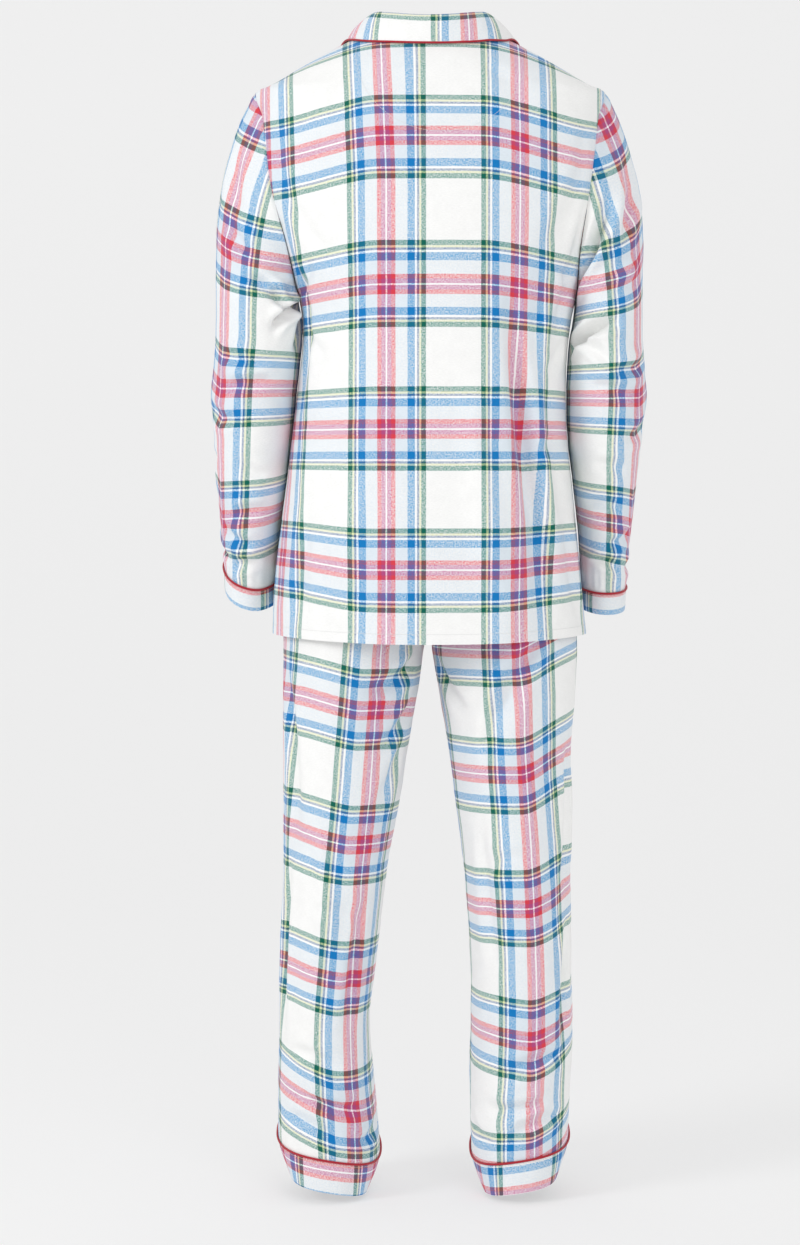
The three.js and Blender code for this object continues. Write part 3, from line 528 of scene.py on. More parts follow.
def shirt_point(turn, level):
    """A point of the shirt's outer face: turn 0 is the middle of the back, 90 the left side."""
    turn, level = np.broadcast_arrays(turn, level)
    ring = read(SHIRT_RINGS, level)
    sine = np.sin(turn * DEGREE)
    cosine = np.cos(turn * DEGREE)
    width = np.where(sine >= 0, ring["left"], ring["right"]) * ring_widening(level, ring["power"])
    face = np.where(cosine >= 0, 1, -1)
    x = width * signed_power(sine, 2 / ring["power"])
    y = np.where(face > 0, ring["back"], ring["front"]) * signed_power(cosine, 2 / ring["power"])
    fold = np.zeros(x.shape)
    for row in rows_of(SHIRT_FOLDS):
        share = (row["top"] - level) / (row["top"] - row["bottom"])
        middle = row["x_top"] + (row["x_bottom"] - row["x_top"]) * share
        shape = np.exp(-(((x - middle) / row["width"]) ** 2))
        fold += np.where(face == row["face"], row["depth"] * smooth(share * 2.5) * shape, 0)
    neck_dip = np.where(face > 0, BACK_NECK_DROP * cosine**2 * smooth((level + 60) / 60), 0)
    hem_share = np.clip((HEM_CURVE_START - level) / (HEM_CURVE_START - SHIRT_HEM), 0, 1)
    hem_rise = SIDE_HEM_RISE * sine**2 * hem_share
    return np.stack([x, y + face * fold * np.abs(cosine), level - neck_dip + hem_rise], axis=-1)


def shirt_normal(turn, level):
    """The shirt's outward direction."""
    turn, level = np.broadcast_arrays(np.asarray(turn, float), np.asarray(level, float))
    across = shirt_point(turn + 0.5, level) - shirt_point(turn - 0.5, level)
    up = shirt_point(turn, level + 1) - shirt_point(turn, level - 1)
    normal = unit(np.cross(across, up))
    away = np.stack([np.sin(turn * DEGREE), np.cos(turn * DEGREE), np.full(turn.shape, 0.4)], axis=-1)
    return np.where((normal * away).sum(axis=-1, keepdims=True) < 0, -normal, normal)


def front_turn(x, level):
    """The turn at which the front of the ring lies this far to the left of the middle."""
    x, level = np.broadcast_arrays(np.asarray(x, float), np.asarray(level, float))
    ring = read(SHIRT_RINGS, level)
    width = np.where(x >= 0, ring["left"], ring["right"]) * ring_widening(level, ring["power"])
    share = np.minimum(1, np.abs(x) / width)
    return 180 - np.sign(x) * np.arcsin(share ** (ring["power"] / 2)) / DEGREE


def front_edge(level):
    """How far from the middle a front panel's edge lies, towards its own side."""
    share = np.clip((level - LAPEL_BREAK) / -LAPEL_BREAK, 0, 1)
    return -FRONT_OVERLAP + (NECK_EDGE_WIDTH + FRONT_OVERLAP) * share


def overlap_lift(x, level):
    """How far the left front stands out where it lies over the right one."""
    near = smooth((OVERLAP_START - x) / (OVERLAP_START - OVERLAP_FULL))
    return OVERLAP_LIFT * near * (1 - smooth((level - OVERLAP_TOP) / OVERLAP_FADE))


def sleeve_ring_point(name, side, around, z):
    """A point of a sleeve's ring, round from its inner side by way of the back."""
    around, z = np.broadcast_arrays(around, z)
    ring = read(SLEEVE_RINGS[name], z)
    cosine = signed_power(np.cos(around * DEGREE), 2 / SLEEVE_POWER)
    sine = signed_power(np.sin(around * DEGREE), 2 / SLEEVE_POWER)
    fold = broad_folds(SLEEVE_FOLDS, around, z, wraps=True)
    dx = -((ring["outer"] - ring["inner"]) / 2 + np.where(cosine > 0, 0, fold)) * cosine
    dy = (ring["half"] + fold) * sine
    x = side * ((ring["inner"] + ring["outer"]) / 2 + dx)
    return np.stack([x, ring["middle"] + dy, z + ring["slope"] * dy + ring["lean"] * dx], axis=-1)


def armhole(side, around):
    """The armhole seam's points and outward directions."""
    share = (1 - np.cos(around * DEGREE)) / 2
    level = UNDERARM + (SHOULDER_TIP - UNDERARM) * share
    face = np.where(np.sin(around * DEGREE) >= 0, 1, -1)
    turn = side * (90 - face * armhole_swing(level))
    return shirt_point(turn, level), shirt_normal(turn, level)


def sleeve_cap_point(name, side, around, share):
    """A point between the armhole seam, at share 0, and the first full ring."""
    around, share = np.broadcast_arrays(around, share)
    start, _ = armhole(side, around)
    end = sleeve_ring_point(name, side, around, np.full(around.shape, float(SLEEVE_TOP_RING)))
    top = (1 - np.cos(around * DEGREE)) / 2
    leave = [side * 0.62 * top, 0.12 * np.sin(around * DEGREE), np.full(top.shape, -1.0)]
    leave = unit(np.stack(leave, axis=-1))
    reach = np.linalg.norm(start - end, axis=-1, keepdims=True) / 3
    first = start + leave * reach
    second = end + np.array([0, 0, 1]) * reach
    s = share[..., None]
    return (
        (1 - s) ** 3 * start
        + 3 * s * (1 - s) ** 2 * first
        + 3 * s**2 * (1 - s) * second
        + s**3 * end
    )


def leg_end(level):
    """The angle at which a leg's section reaches the inner or middle seam."""
    split = np.clip(read(TROUSER_RINGS, level)["split"], 0, 1)
    return np.where(level < CROTCH, 180, 180 - np.arccos(split ** (TROUSER_POWER / 2)) / DEGREE)


def leg_point(name, share, level):
    """A point of a leg's outer face: share 0 is the outer seam, 1 the inner one by way of the back."""
    share, level = np.broadcast_arrays(share, level)
    side = 1 if name == "left" else -1
    ring = read(TROUSER_RINGS, level)
    outer = ring["outer_" + name]
    inner = np.maximum(0.1, ring["inner_" + name])
    split = np.clip(ring["split"], 0, 1)
    half = np.where(level < CROTCH, (outer - inner) / 2, (outer - 0.1) / (1 + split))
    around = share * leg_end(level)
    cosine = signed_power(np.cos(around * DEGREE), 2 / TROUSER_POWER)
    sine = signed_power(np.sin(around * DEGREE), 2 / TROUSER_POWER)
    fold = broad_folds(LEG_FOLDS[name], share * 180, level, wraps=False)
    fold = fold * np.sin(np.clip(np.abs(share), 0, 1) * np.pi) ** 0.5
    dy = (np.where(sine >= 0, ring["back"], ring["front"]) + fold) * sine
    dx = (half + fold * 0.6) * cosine
    hem = smooth((HEM_SLOPE_START - level) / (HEM_SLOPE_START - HEM_SEAM))
    z = level + hem * (HEM_SLOPE * dy + HEM_LEAN * dx)
    return np.stack([side * (outer - half + dx), ring["middle"] + dy, z], axis=-1)


def grid_normals(points, is_tube=True, centre=None):
    """Outward directions of a grid of points, worked out from its own rows and columns."""
    if centre is None:
        centre = points.mean(axis=1, keepdims=True)
    if is_tube:
        across = np.roll(points, -1, axis=1) - np.roll(points, 1, axis=1)
    else:
        across = np.gradient(points, axis=1)
    normal = unit(np.cross(across, np.gradient(points, axis=0)))
    return np.where(((points - centre) * normal).sum(axis=-1, keepdims=True) < 0, -normal, normal)


# Meshes

# Edges that bend more than this are drawn sharp
SHARP_CLOTH = math.radians(52)
SHARP_BUTTON = math.radians(40)


def grid_steps(rows, columns):
    """The row and column of every step of a grid, each as one list."""
    return (a.ravel() for a in np.meshgrid(np.arange(rows), np.arange(columns), indexing="ij"))


def wall_object(name, outer, inner, cloth_uv, is_tube=False):
    """Makes a thin wall between an outer and an inner grid of points, with its cloth coordinates."""
    rows, columns = outer.shape[:2]
    uv_columns = cloth_uv.shape[1]
    count = rows * columns
    last = columns if is_tube else columns - 1
    top = rows - 1

    def faces(*corners):
        points = [side * count + r * columns + c % columns for r, c, side in corners]
        places = [r * uv_columns + c for r, c, _ in corners]
        return np.stack(points, axis=-1), np.stack(places, axis=-1)

    r, c = grid_steps(top, last)
    along = np.arange(last)
    low = np.zeros(last, int)
    high = low + top
    parts = [
        faces((r, c, 0), (r, c + 1, 0), (r + 1, c + 1, 0), (r + 1, c, 0)),
        faces((r, c, 1), (r + 1, c, 1), (r + 1, c + 1, 1), (r, c + 1, 1)),
        faces((low, along + 1, 0), (low, along, 0), (low, along, 1), (low, along + 1, 1)),
        faces((high, along, 0), (high, along + 1, 0), (high, along + 1, 1), (high, along, 1)),
    ]
    if not is_tube:
        up = np.arange(top)
        first = np.zeros(top, int)
        end = first + columns - 1
        parts.append(faces((up, first, 0), (up + 1, first, 0), (up + 1, first, 1), (up, first, 1)))
        parts.append(faces((up + 1, end, 0), (up, end, 0), (up, end, 1), (up + 1, end, 1)))
    index = np.concatenate([p[0] for p in parts])
    uv_index = np.concatenate([p[1] for p in parts])
    points = np.concatenate([outer.reshape(-1, 3), inner.reshape(-1, 3)]) * MM
    return mesh_object(name, points, index, cloth_uv.reshape(-1, 2)[uv_index])


def mesh_object(name, points, faces, corner_uv=None):
    """Makes an object of four-sided faces that point outward, smooth but for its sharp edges."""
    a, b, c, d = (points[faces[:, i]] for i in range(4))
    volume = (np.cross(a, b) * c).sum() + (np.cross(a, c) * d).sum()
    if volume < 0:
        faces = faces[:, ::-1]
        corner_uv = None if corner_uv is None else corner_uv[:, ::-1]
    mesh = bpy.data.meshes.new(name)
    mesh.vertices.add(len(points))
    mesh.vertices.foreach_set("co", points.astype(np.float32).ravel())
    mesh.loops.add(faces.size)
    mesh.loops.foreach_set("vertex_index", faces.astype(np.int32).ravel())
    mesh.polygons.add(len(faces))
    mesh.polygons.foreach_set("loop_start", np.arange(0, faces.size, 4, dtype=np.int32))
    mesh.update(calc_edges=True)
    if corner_uv is not None:
        layer = mesh.uv_layers.new(name="Cloth")
        layer.data.foreach_set("uv", (corner_uv * MM).astype(np.float32).ravel())
    mesh.validate()
    mesh.polygons.foreach_set("use_smooth", np.ones(len(mesh.polygons), bool))
    mesh.set_sharp_from_angle(angle=SHARP_CLOTH)
    thing = bpy.data.objects.new(name, mesh)
    bpy.context.scene.collection.objects.link(thing)
    return thing


def cord_object(name, path, outward, radius, is_ring, sides=10, flat=0.85):
    """Makes a round cord along a path that lies on the cloth, slightly flattened towards it."""
    if is_ring:
        along = np.roll(path, -1, axis=0) - np.roll(path, 1, axis=0)
    else:
        along = np.gradient(path, axis=0)
    along = unit(along)
    across = unit(np.cross(along, outward))
    out = np.cross(across, along)
    turns = np.linspace(0, 2 * np.pi, sides, endpoint=False)
    ring = np.cos(turns)[None, :, None] * out[:, None] * radius * flat
    ring = ring + np.sin(turns)[None, :, None] * across[:, None] * radius
    points = path[:, None] + ring
    count = len(path)
    i, s = grid_steps(count if is_ring else count - 1, sides)
    nxt, turn = (i + 1) % count, (s + 1) % sides
    faces = np.stack([i * sides + s, i * sides + turn, nxt * sides + turn, nxt * sides + s], axis=-1)
    flat_points = points.reshape(-1, 3)
    if not is_ring:
        caps = []
        for end in (0, count - 1):
            ids = end * sides + np.arange(sides)
            caps += [[ids[0], ids[k], ids[k + 1], ids[k + 2]] for k in range(1, sides - 2, 2)]
        caps = np.array(caps)
        half = len(caps) // 2
        caps[:half] = caps[:half, ::-1]
        faces = np.concatenate([faces, caps])
    lengths = np.linalg.norm(np.diff(path, axis=0, append=path[:1] if is_ring else path[-1:]), axis=-1)
    run = np.concatenate([[0], np.cumsum(lengths)])
    uv = np.stack([run[i], s * 2 * np.pi * radius / sides], axis=-1)
    uv = np.stack([uv, uv, uv, uv], axis=1)
    uv[:, 2:, 0] = run[i + 1][:, None]
    uv[:, 1:3, 1] += 2 * np.pi * radius / sides
    if not is_ring:
        uv = np.concatenate([uv, np.zeros((len(faces) - len(uv), 4, 2))])
    return mesh_object(name, flat_points * MM, faces, uv)


def spaced(stops, counts):
    """Joins evenly spaced stretches between stops into one list of values."""
    parts = [np.linspace(a, b, n, endpoint=False) for a, b, n in zip(stops, stops[1:], counts)]
    return np.concatenate(parts + [[stops[-1]]])


def finish_piece(piece, material, slot, *nodes):
    """Gives a piece its material, rides it on the body and hides the solids it stands for; the slot is not
    used.
    """
    piece.data.materials.append(material)
    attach(piece, "root")
    if nodes:
        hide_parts(*nodes)


# The cut of cloth that shows of each piece before it was sewn: its width and length, how it is
# held, and which share of that rectangle it fills, where it isn't the whole of it
CUTS = {
    "shirt_back": (580, 840, "hung", 0.82),
    "shirt_front_left": (295, 835, "hung", 0.81),
    "shirt_front_right": (295, 835, "hung", 0.81),
    "lapel_left": (66, 70, "folded", 0.7),
    "lapel_right": (66, 70, "folded", 0.7),
    "collar": (505, 93, "folded", 0.7),
    "sleeve_left": (420, 642, "hung", 0.71),
    "sleeve_right": (400, 668, "hung", 0.71),
    "cuff_left": (266, 29, "folded", None),
    "cuff_right": (242, 29, "folded", None),
    "waistband": (1118, 38, "gathered", None),
    "trouser_back_left": (400, 960, "hung", 0.66),
    "trouser_back_right": (400, 960, "hung", 0.66),
    "trouser_front_left": (386, 960, "hung", 0.66),
    "trouser_front_right": (386, 960, "hung", 0.66),
    "hem_band_left": (488, 44, "folded", None),
    "hem_band_right": (488, 44, "folded", None),
}


def cloth_piece(name, outer, inner, cloth_uv, is_tube=False):
    """Makes a piece of cloth in place of its solid; its cut of cloth is looked up but not used."""
    piece = wall_object(f"{name}_cloth", outer, inner, cloth_uv, is_tube)
    width, length, held, share = CUTS[name]
    width, length = width * MM, length * MM
    finish_piece(piece, plaid(), "plaid_cloth", name)


def piping(name, path, outward, is_ring=True):
    """Makes the piping along a path, in place of its solid."""
    cord = cord_object(f"{name}_cord", path, outward, piping_radius(), is_ring)
    finish_piece(cord, crimson(), "piping", name)


def cloth_thickness():
    """The cloth's thickness in millimetres."""
    return bpy.context.scene.pyjama_cloth.thickness / MM


def piping_radius():
    """The piping's radius in millimetres."""
    return bpy.context.scene.pyjama_trim.piping_radius / MM


# Heights of the thread above the cloth, over one stitch and down again
STITCH_HEIGHTS = (-0.5, 0.1, 0.24, 0.24, 0.1)
THREAD_RADIUS = 0.25


def stitch_row(name, points, normals, is_ring=False):
    """Sews a row of stitches along points on the cloth: one thread that dips between stitches."""
    pitch = bpy.context.scene.pyjama_trim.stitch_pitch / MM
    if is_ring:
        points = np.concatenate([points, points[:1]])
        normals = np.concatenate([normals, normals[:1]])
    run = np.concatenate([[0], np.cumsum(np.linalg.norm(np.diff(points, axis=0), axis=-1))])
    count = int(run[-1] / pitch)
    places = np.arange(count * len(STITCH_HEIGHTS)) / (count * len(STITCH_HEIGHTS)) * run[-1]
    path = np.stack([np.interp(places, run, points[:, k]) for k in range(3)], axis=-1)
    outward = unit(np.stack([np.interp(places, run, normals[:, k]) for k in range(3)], axis=-1))
    path = path + outward * np.tile(STITCH_HEIGHTS, count)[:, None]
    cord = cord_object(name, path, outward, THREAD_RADIUS, is_ring, sides=4, flat=1)
    finish_piece(cord, thread(), "plaid_cloth")


# Cloth coordinates


def pattern_down(level, groups):
    """Turns levels into places down the cloth, so that each group of stripes falls on its level."""
    settings = bpy.context.scene.pyjama_cloth
    repeat = settings.repeat_down / MM
    levels = np.array(groups["levels"], float)
    places = np.arange(len(levels)) * repeat
    inside = np.interp(level, levels, places)
    below = np.minimum(0, level - levels[0])
    above = np.maximum(0, level - levels[-1])
    return inside + below + above


def eased_rise(distance):
    """A rise that starts softly, climbs evenly and levels out."""
    beyond = np.maximum(0, distance)
    return 60 * np.tanh(beyond**2 / (beyond + 22) / 60)


def run_along(points, zero_at, values):
    """How far each point of a grid's rows lies along its row, from where the values read zero_at."""
    steps = np.linalg.norm(np.diff(points, axis=1), axis=-1)
    run = np.concatenate([np.zeros((len(points), 1)), np.cumsum(steps, axis=1)], axis=1)
    zero = np.array([np.interp(zero_at, v, r) for v, r in zip(values, run)])
    return run - zero[:, None]


def run_round(points, zero_at, turns, full=360):
    """How far each point of a tube's rows lies round its row, with the first point once more."""
    closed = np.concatenate([points, points[:, :1]], axis=1)
    values = np.broadcast_to(np.append(turns, full), closed.shape[:2])
    return run_along(closed, zero_at, values)


# How far the stripes sink towards the armholes, at levels from low to high.
SHOULDER_DROOP = ((-520, -420, -336, -200, -100, 0), (0, 8, 15, 24, 29, 30))
# How much of their rise to the sides the stripes have, at levels from low to high.
HEM_RISE = ((-690, -550), (1, 0))
# How far the upright stripes lean outward on the wearer's left shoulder.
SHOULDER_LEAN = ((-200, -100, -30), (0, 4, 7))
PROFILE_LEVEL = -200
PROFILE_STEPS = 24


def shirt_cloth(turn, level, points, groups, face):
    """Cloth coordinates of the back or fronts: across from the middle, and up over the shoulders."""
    turn, level = np.broadcast_arrays(turn, level)
    x = np.abs(points[..., 0])
    low = np.minimum(level, PROFILE_LEVEL)
    ring = read(SHIRT_RINGS, low)
    left = points[..., 0] >= 0
    width = np.where(left, ring["left"], ring["right"]) * ring_widening(low, ring["power"])
    end = np.arcsin(np.minimum(1, x / width) ** (ring["power"] / 2))
    depth = ring["back"] if face > 0 else ring["front"]
    steps = np.linspace(0, 1, PROFILE_STEPS)
    bends = end[..., None] * steps
    power = (2 / ring["power"])[..., None]
    xs = width[..., None] * np.sin(bends) ** power
    ys = depth[..., None] * np.cos(bends) ** power
    across = np.hypot(np.diff(xs, axis=-1), np.diff(ys, axis=-1)).sum(axis=-1)
    rises = low[..., None] + (level - low)[..., None] * steps
    ring = read(SHIRT_RINGS, rises)
    width = np.where(left[..., None], ring["left"], ring["right"]) * ring_widening(rises, ring["power"])
    share = np.clip(x[..., None] / width, 0, 1)
    depth = ring["back"] if face > 0 else ring["front"]
    ys = depth * (1 - share ** ring["power"]) ** (1 / ring["power"])
    climb = np.hypot(np.diff(rises, axis=-1), np.diff(ys, axis=-1)).sum(axis=-1)
    droop = np.interp(level, *SHOULDER_DROOP) * smooth((x - 62) / 145)
    side_rise = np.interp(level, *HEM_RISE) * smooth((x - 80) / 120) * np.where(left, 15, 9)
    down = pattern_down(low + climb + droop - side_rise, groups)
    sign = np.sign(points[..., 0])
    lean = np.interp(level, *SHOULDER_LEAN) * smooth(x / 60) * left
    return np.stack([sign * across - lean - groups["across"], down], axis=-1)


# Materials


def srgb(colour):
    """Turns screen colour values into linear ones."""
    return tuple(c / 12.92 if c <= 0.04045 else ((c + 0.055) / 1.055) ** 2.4 for c in colour)


class NodeTree:
    """Short names for adding and joining a material's nodes."""

    def __init__(self, name):
        self.material = bpy.data.materials.new(name)
        self.material.use_nodes = True
        self.nodes = self.material.node_tree.nodes
        self.links = self.material.node_tree.links
        self.nodes.clear()
        self.output = self.add("ShaderNodeOutputMaterial")
        self.shader = self.add("ShaderNodeBsdfPrincipled")
        self.links.new(self.shader.outputs[0], self.output.inputs["Surface"])

    def add(self, kind, **values):
        node = self.nodes.new(kind)
        for key, value in values.items():
            setattr(node, key, value)
        return node

    def join(self, source, target):
        self.links.new(source, target)

    def math(self, operation, a, b=None, clamp=False):
        node = self.add("ShaderNodeMath", operation=operation, use_clamp=clamp)
        for socket, value in zip(node.inputs, (a, b)):
            if isinstance(value, (int, float)):
                socket.default_value = value
            elif value is not None:
                self.links.new(value, socket)
        return node.outputs[0]

    def mix(self, factor, a, b, blend="MIX"):
        node = self.add("ShaderNodeMix", data_type="RGBA", blend_type=blend)
        for socket, value in zip((node.inputs["Factor"], node.inputs[6], node.inputs[7]), (factor, a, b)):
            if isinstance(value, (int, float)):
                socket.default_value = value
            elif isinstance(value, tuple):
                socket.default_value = value + (1,)
            else:
                self.links.new(value, socket)
        return node.outputs[2]

    def scaled(self, value, by, plus):
        """Multiplies a value and adds to it."""
        return self.math("ADD", self.math("MULTIPLY", value, by), plus)

    def noise(self, place, scale, detail=2, roughness=0.5):
        """Adds a noise pattern."""
        node = self.add("ShaderNodeTexNoise")
        node.inputs["Scale"].default_value = scale
        node.inputs["Detail"].default_value = detail
        node.inputs["Roughness"].default_value = roughness
        self.join(place, node.inputs["Vector"])
        return node.outputs

    def bump(self, height, strength, distance, normal=None):
        """Adds a relief of this height, over an earlier one where there is one."""
        node = self.add("ShaderNodeBump")
        node.inputs["Strength"].default_value = strength
        node.inputs["Distance"].default_value = distance
        self.join(height, node.inputs["Height"])
        if normal is not None:
            self.join(normal, node.inputs["Normal"])
        return node.outputs[0]

    def surface(self, **values):
        """Sets the surface shader's inputs, whose names are given with a low line for each space."""
        for name, value in values.items():
            socket = self.shader.inputs[name.replace("_", " ")]
            if isinstance(value, bpy.types.NodeSocket):
                self.links.new(value, socket)
            else:
                socket.default_value = value


# One group of stripes from its edge inward, in shares of the group, and the same outward again.
GROUP_SHARE = 80 / 135
GROUP_STRIPES = (
    ("green", 5), ("cream", 2), ("slate", 2), ("white", 2), ("blue", 7.5), ("pale", 12.5),
    ("red", 4), ("mauve", 4), ("white", 2), ("mauve", 4), ("red", 4), ("pale", 12.5),
    ("blue", 7.5), ("white", 2), ("slate", 2), ("cream", 2), ("green", 5),
)


def stripe_colours(tree, place, repeat):
    """Colours of the yarns in one direction, from how far along the repeat they lie."""
    settings = bpy.context.scene.pyjama_cloth
    total = sum(width for _, width in GROUP_STRIPES)
    start = (1 - GROUP_SHARE) / 2
    shifted = tree.math("ADD", tree.math("DIVIDE", place, repeat), 0.5)
    share = tree.math("FRACT", shifted)
    ramp = tree.add("ShaderNodeValToRGB")
    ramp.color_ramp.interpolation = "CONSTANT"
    stops = ramp.color_ramp.elements
    ground = tuple(settings.ground) + (1,)
    stops[0].position = 0
    stops[0].color = ground
    stops[1].position = start + GROUP_SHARE
    stops[1].color = ground
    at = start
    for colour, width in GROUP_STRIPES:
        stop = stops.new(at)
        stop.color = tuple(getattr(settings, colour)) + (1,)
        at += width / total * GROUP_SHARE
    tree.join(share, ramp.inputs["Fac"])
    return ramp.outputs["Color"]


# How far single yarns wander from their straight line, in metres
YARN_WANDER = 0.0008
# How much the twill lines, the paler yarn and the heather decide which yarn lies on top
TWILL_SHARE = 0.3
PALER_SHARE = -0.14
HEATHER_SHARE = 1.9
# How fast crossings of deep colours reach their full depth, and how deep they get
CROSSING_GAIN = 1.7
CROSSING_DEPTH = 0.66
# How much of a crossing's colour is the two yarns' own depth, and not one seen through the other
OWN_DEPTH = 0.4


def wandering_place(tree, place):
    """The place on the cloth, with its yarns slightly out of line, split into across and down."""
    centred = tree.add("ShaderNodeVectorMath", operation="SUBTRACT")
    centred.inputs[1].default_value = (0.5, 0.5, 0.5)
    tree.join(tree.noise(place, 26)["Color"], centred.inputs[0])
    scaled = tree.add("ShaderNodeVectorMath", operation="SCALE")
    scaled.inputs["Scale"].default_value = YARN_WANDER
    tree.join(centred.outputs[0], scaled.inputs[0])
    moved = tree.add("ShaderNodeVectorMath", operation="ADD")
    tree.join(place, moved.inputs[0])
    tree.join(scaled.outputs[0], moved.inputs[1])
    split = tree.add("ShaderNodeSeparateXYZ")
    tree.join(moved.outputs[0], split.inputs[0])
    return split.outputs["X"], split.outputs["Y"]


def tone(tree, colour):
    """A colour's brightness."""
    node = tree.add("ShaderNodeRGBToBW")
    tree.join(colour, node.inputs[0])
    return node.outputs[0]


def woven_colour(tree, place, warp, weft, ridge):
    """Warp and weft seen half and half, and deeper where two coloured yarns cross."""
    warp_tone = tone(tree, warp)
    weft_tone = tone(tree, weft)
    over = tree.scaled(ridge, TWILL_SHARE, 0.5)
    paler = tree.math("SUBTRACT", weft_tone, warp_tone)
    over = tree.math("ADD", over, tree.math("MULTIPLY", paler, PALER_SHARE))
    heather = tree.math("SUBTRACT", tree.noise(place, 540)["Fac"], 0.5)
    over = tree.math("ADD", over, tree.math("MULTIPLY", heather, HEATHER_SHARE), clamp=True)
    yarns = tree.mix(over, warp, weft)
    depths = [tree.math("SUBTRACT", 1, each) for each in (warp_tone, weft_tone)]
    crossing = tree.math("MULTIPLY", tree.math("MULTIPLY", *depths), CROSSING_GAIN, clamp=True)
    deep = [tree.mix(1.0, each, each, "MULTIPLY") for each in (warp, weft)]
    crossed = tree.mix(OWN_DEPTH, tree.mix(1.0, warp, weft, "MULTIPLY"), tree.mix(0.5, *deep))
    return tree.mix(tree.math("MULTIPLY", crossing, CROSSING_DEPTH), yarns, crossed)


def yarn_shade(tree, place):
    """Flecks where single yarns are paler or darker, and a slow unevenness, as a grey."""
    stretch = tree.add("ShaderNodeMapping")
    stretch.inputs["Scale"].default_value = (260, 900, 1)
    tree.join(place, stretch.inputs["Vector"])
    flecks = tree.noise(stretch.outputs[0], 1, 3, 0.7)["Fac"]
    slubs = tree.noise(place, 60, 4)["Fac"]
    shade = tree.math("MULTIPLY", tree.scaled(flecks, 0.24, 0.88), tree.scaled(slubs, 0.08, 0.96))
    grey = tree.add("ShaderNodeCombineColor")
    for channel in ("Red", "Green", "Blue"):
        tree.join(shade, grey.inputs[channel])
    return grey.outputs[0]


def plaid_material():
    """Brushed cotton twill in the plaid, with heather flecks and a nap."""
    settings = bpy.context.scene.pyjama_cloth
    tree = NodeTree("Plaid cloth")
    place = tree.add("ShaderNodeUVMap", uv_map="Cloth").outputs[0]
    across, down = wandering_place(tree, place)
    warp = stripe_colours(tree, across, settings.repeat_across)
    weft = stripe_colours(tree, down, settings.repeat_down)
    diagonal = tree.math("ADD", across, down)
    ridge = tree.math("SINE", tree.math("MULTIPLY", diagonal, 2 * math.pi / settings.twill_pitch))
    colour = woven_colour(tree, place, warp, weft, ridge)
    nap = tree.noise(place, 900, 5, 0.65)["Fac"]
    fine = tree.bump(tree.math("ADD", tree.math("MULTIPLY", ridge, 0.35), nap), 0.3, 0.0003)
    broad = tree.bump(tree.noise(place, 38, 3)["Fac"], 0.35, 0.002, fine)
    tree.surface(
        Base_Color=tree.mix(1.0, colour, yarn_shade(tree, place), "MULTIPLY"),
        Normal=broad,
        Roughness=tree.scaled(nap, 0.1, 0.82),
        Sheen_Weight=0.25,
        Sheen_Roughness=0.5,
        Specular_IOR_Level=0.2,
    )
    return tree.material


# Distance between the slanting yarns of the piping, in metres
PIPING_WEAVE = 0.0007


def piping_material():
    """Crimson cotton piping, cut on the bias, with its weave running slantwise."""
    colour = tuple(bpy.context.scene.pyjama_trim.piping_colour)
    tree = NodeTree("Crimson piping")
    place = tree.add("ShaderNodeUVMap", uv_map="Cloth").outputs[0]
    split = tree.add("ShaderNodeSeparateXYZ")
    tree.join(place, split.inputs[0])
    slant = tree.math("ADD", split.outputs["X"], split.outputs["Y"])
    weave = tree.math("SINE", tree.math("MULTIPLY", slant, 2 * math.pi / PIPING_WEAVE))
    noise = tree.noise(place, 420, 4)["Fac"]
    tree.surface(
        Base_Color=tree.mix(noise, tuple(0.72 * c for c in colour), colour),
        Normal=tree.bump(tree.math("ADD", tree.math("MULTIPLY", weave, 0.4), noise), 0.35, 0.0002),
        Roughness=tree.scaled(noise, 0.15, 0.65),
        Sheen_Weight=0.2,
    )
    return tree.material


def button_material():
    """Off-white moulded plastic with a faint pearly cloudiness."""
    colour = tuple(bpy.context.scene.pyjama_trim.button_colour)
    tree = NodeTree("Pearly plastic")
    cloud = tree.noise(tree.add("ShaderNodeTexCoord").outputs["Object"], 160, 3)["Fac"]
    tree.surface(
        Base_Color=tree.mix(cloud, tuple(0.86 * c for c in colour), colour),
        Roughness=tree.scaled(cloud, 0.15, 0.22),
    )
    return tree.material


def thread_material():
    """White sewing thread."""
    tree = NodeTree("Sewing thread")
    twist = tree.noise(tree.add("ShaderNodeTexCoord").outputs["Object"], 1500)["Fac"]
    tree.surface(Base_Color=tree.mix(twist, (0.62, 0.62, 0.62), (0.86, 0.86, 0.85)), Roughness=0.6)
    return tree.material


def material(name, make):
    """Finds a material by name, or makes it."""
    return bpy.data.materials.get(name) or make()


def plaid():
    return material("Plaid cloth", plaid_material)


def crimson():
    return material("Crimson piping", piping_material)


def button_plastic():
    return material("Pearly plastic", button_material)


def thread():
    return material("Sewing thread", thread_material)


def length(name, description, default, low, high):
    """A length that the sidebar shows."""
    return FloatProperty(
        name=name, description=description, default=default, min=low, max=high, unit="LENGTH",
    )


def colour(name, description, red, green, blue):
    """A colour that the sidebar shows, given by its screen values."""
    return FloatVectorProperty(
        name=name, description=description, default=srgb((red, green, blue)),
        min=0, max=1, subtype="COLOR",
    )


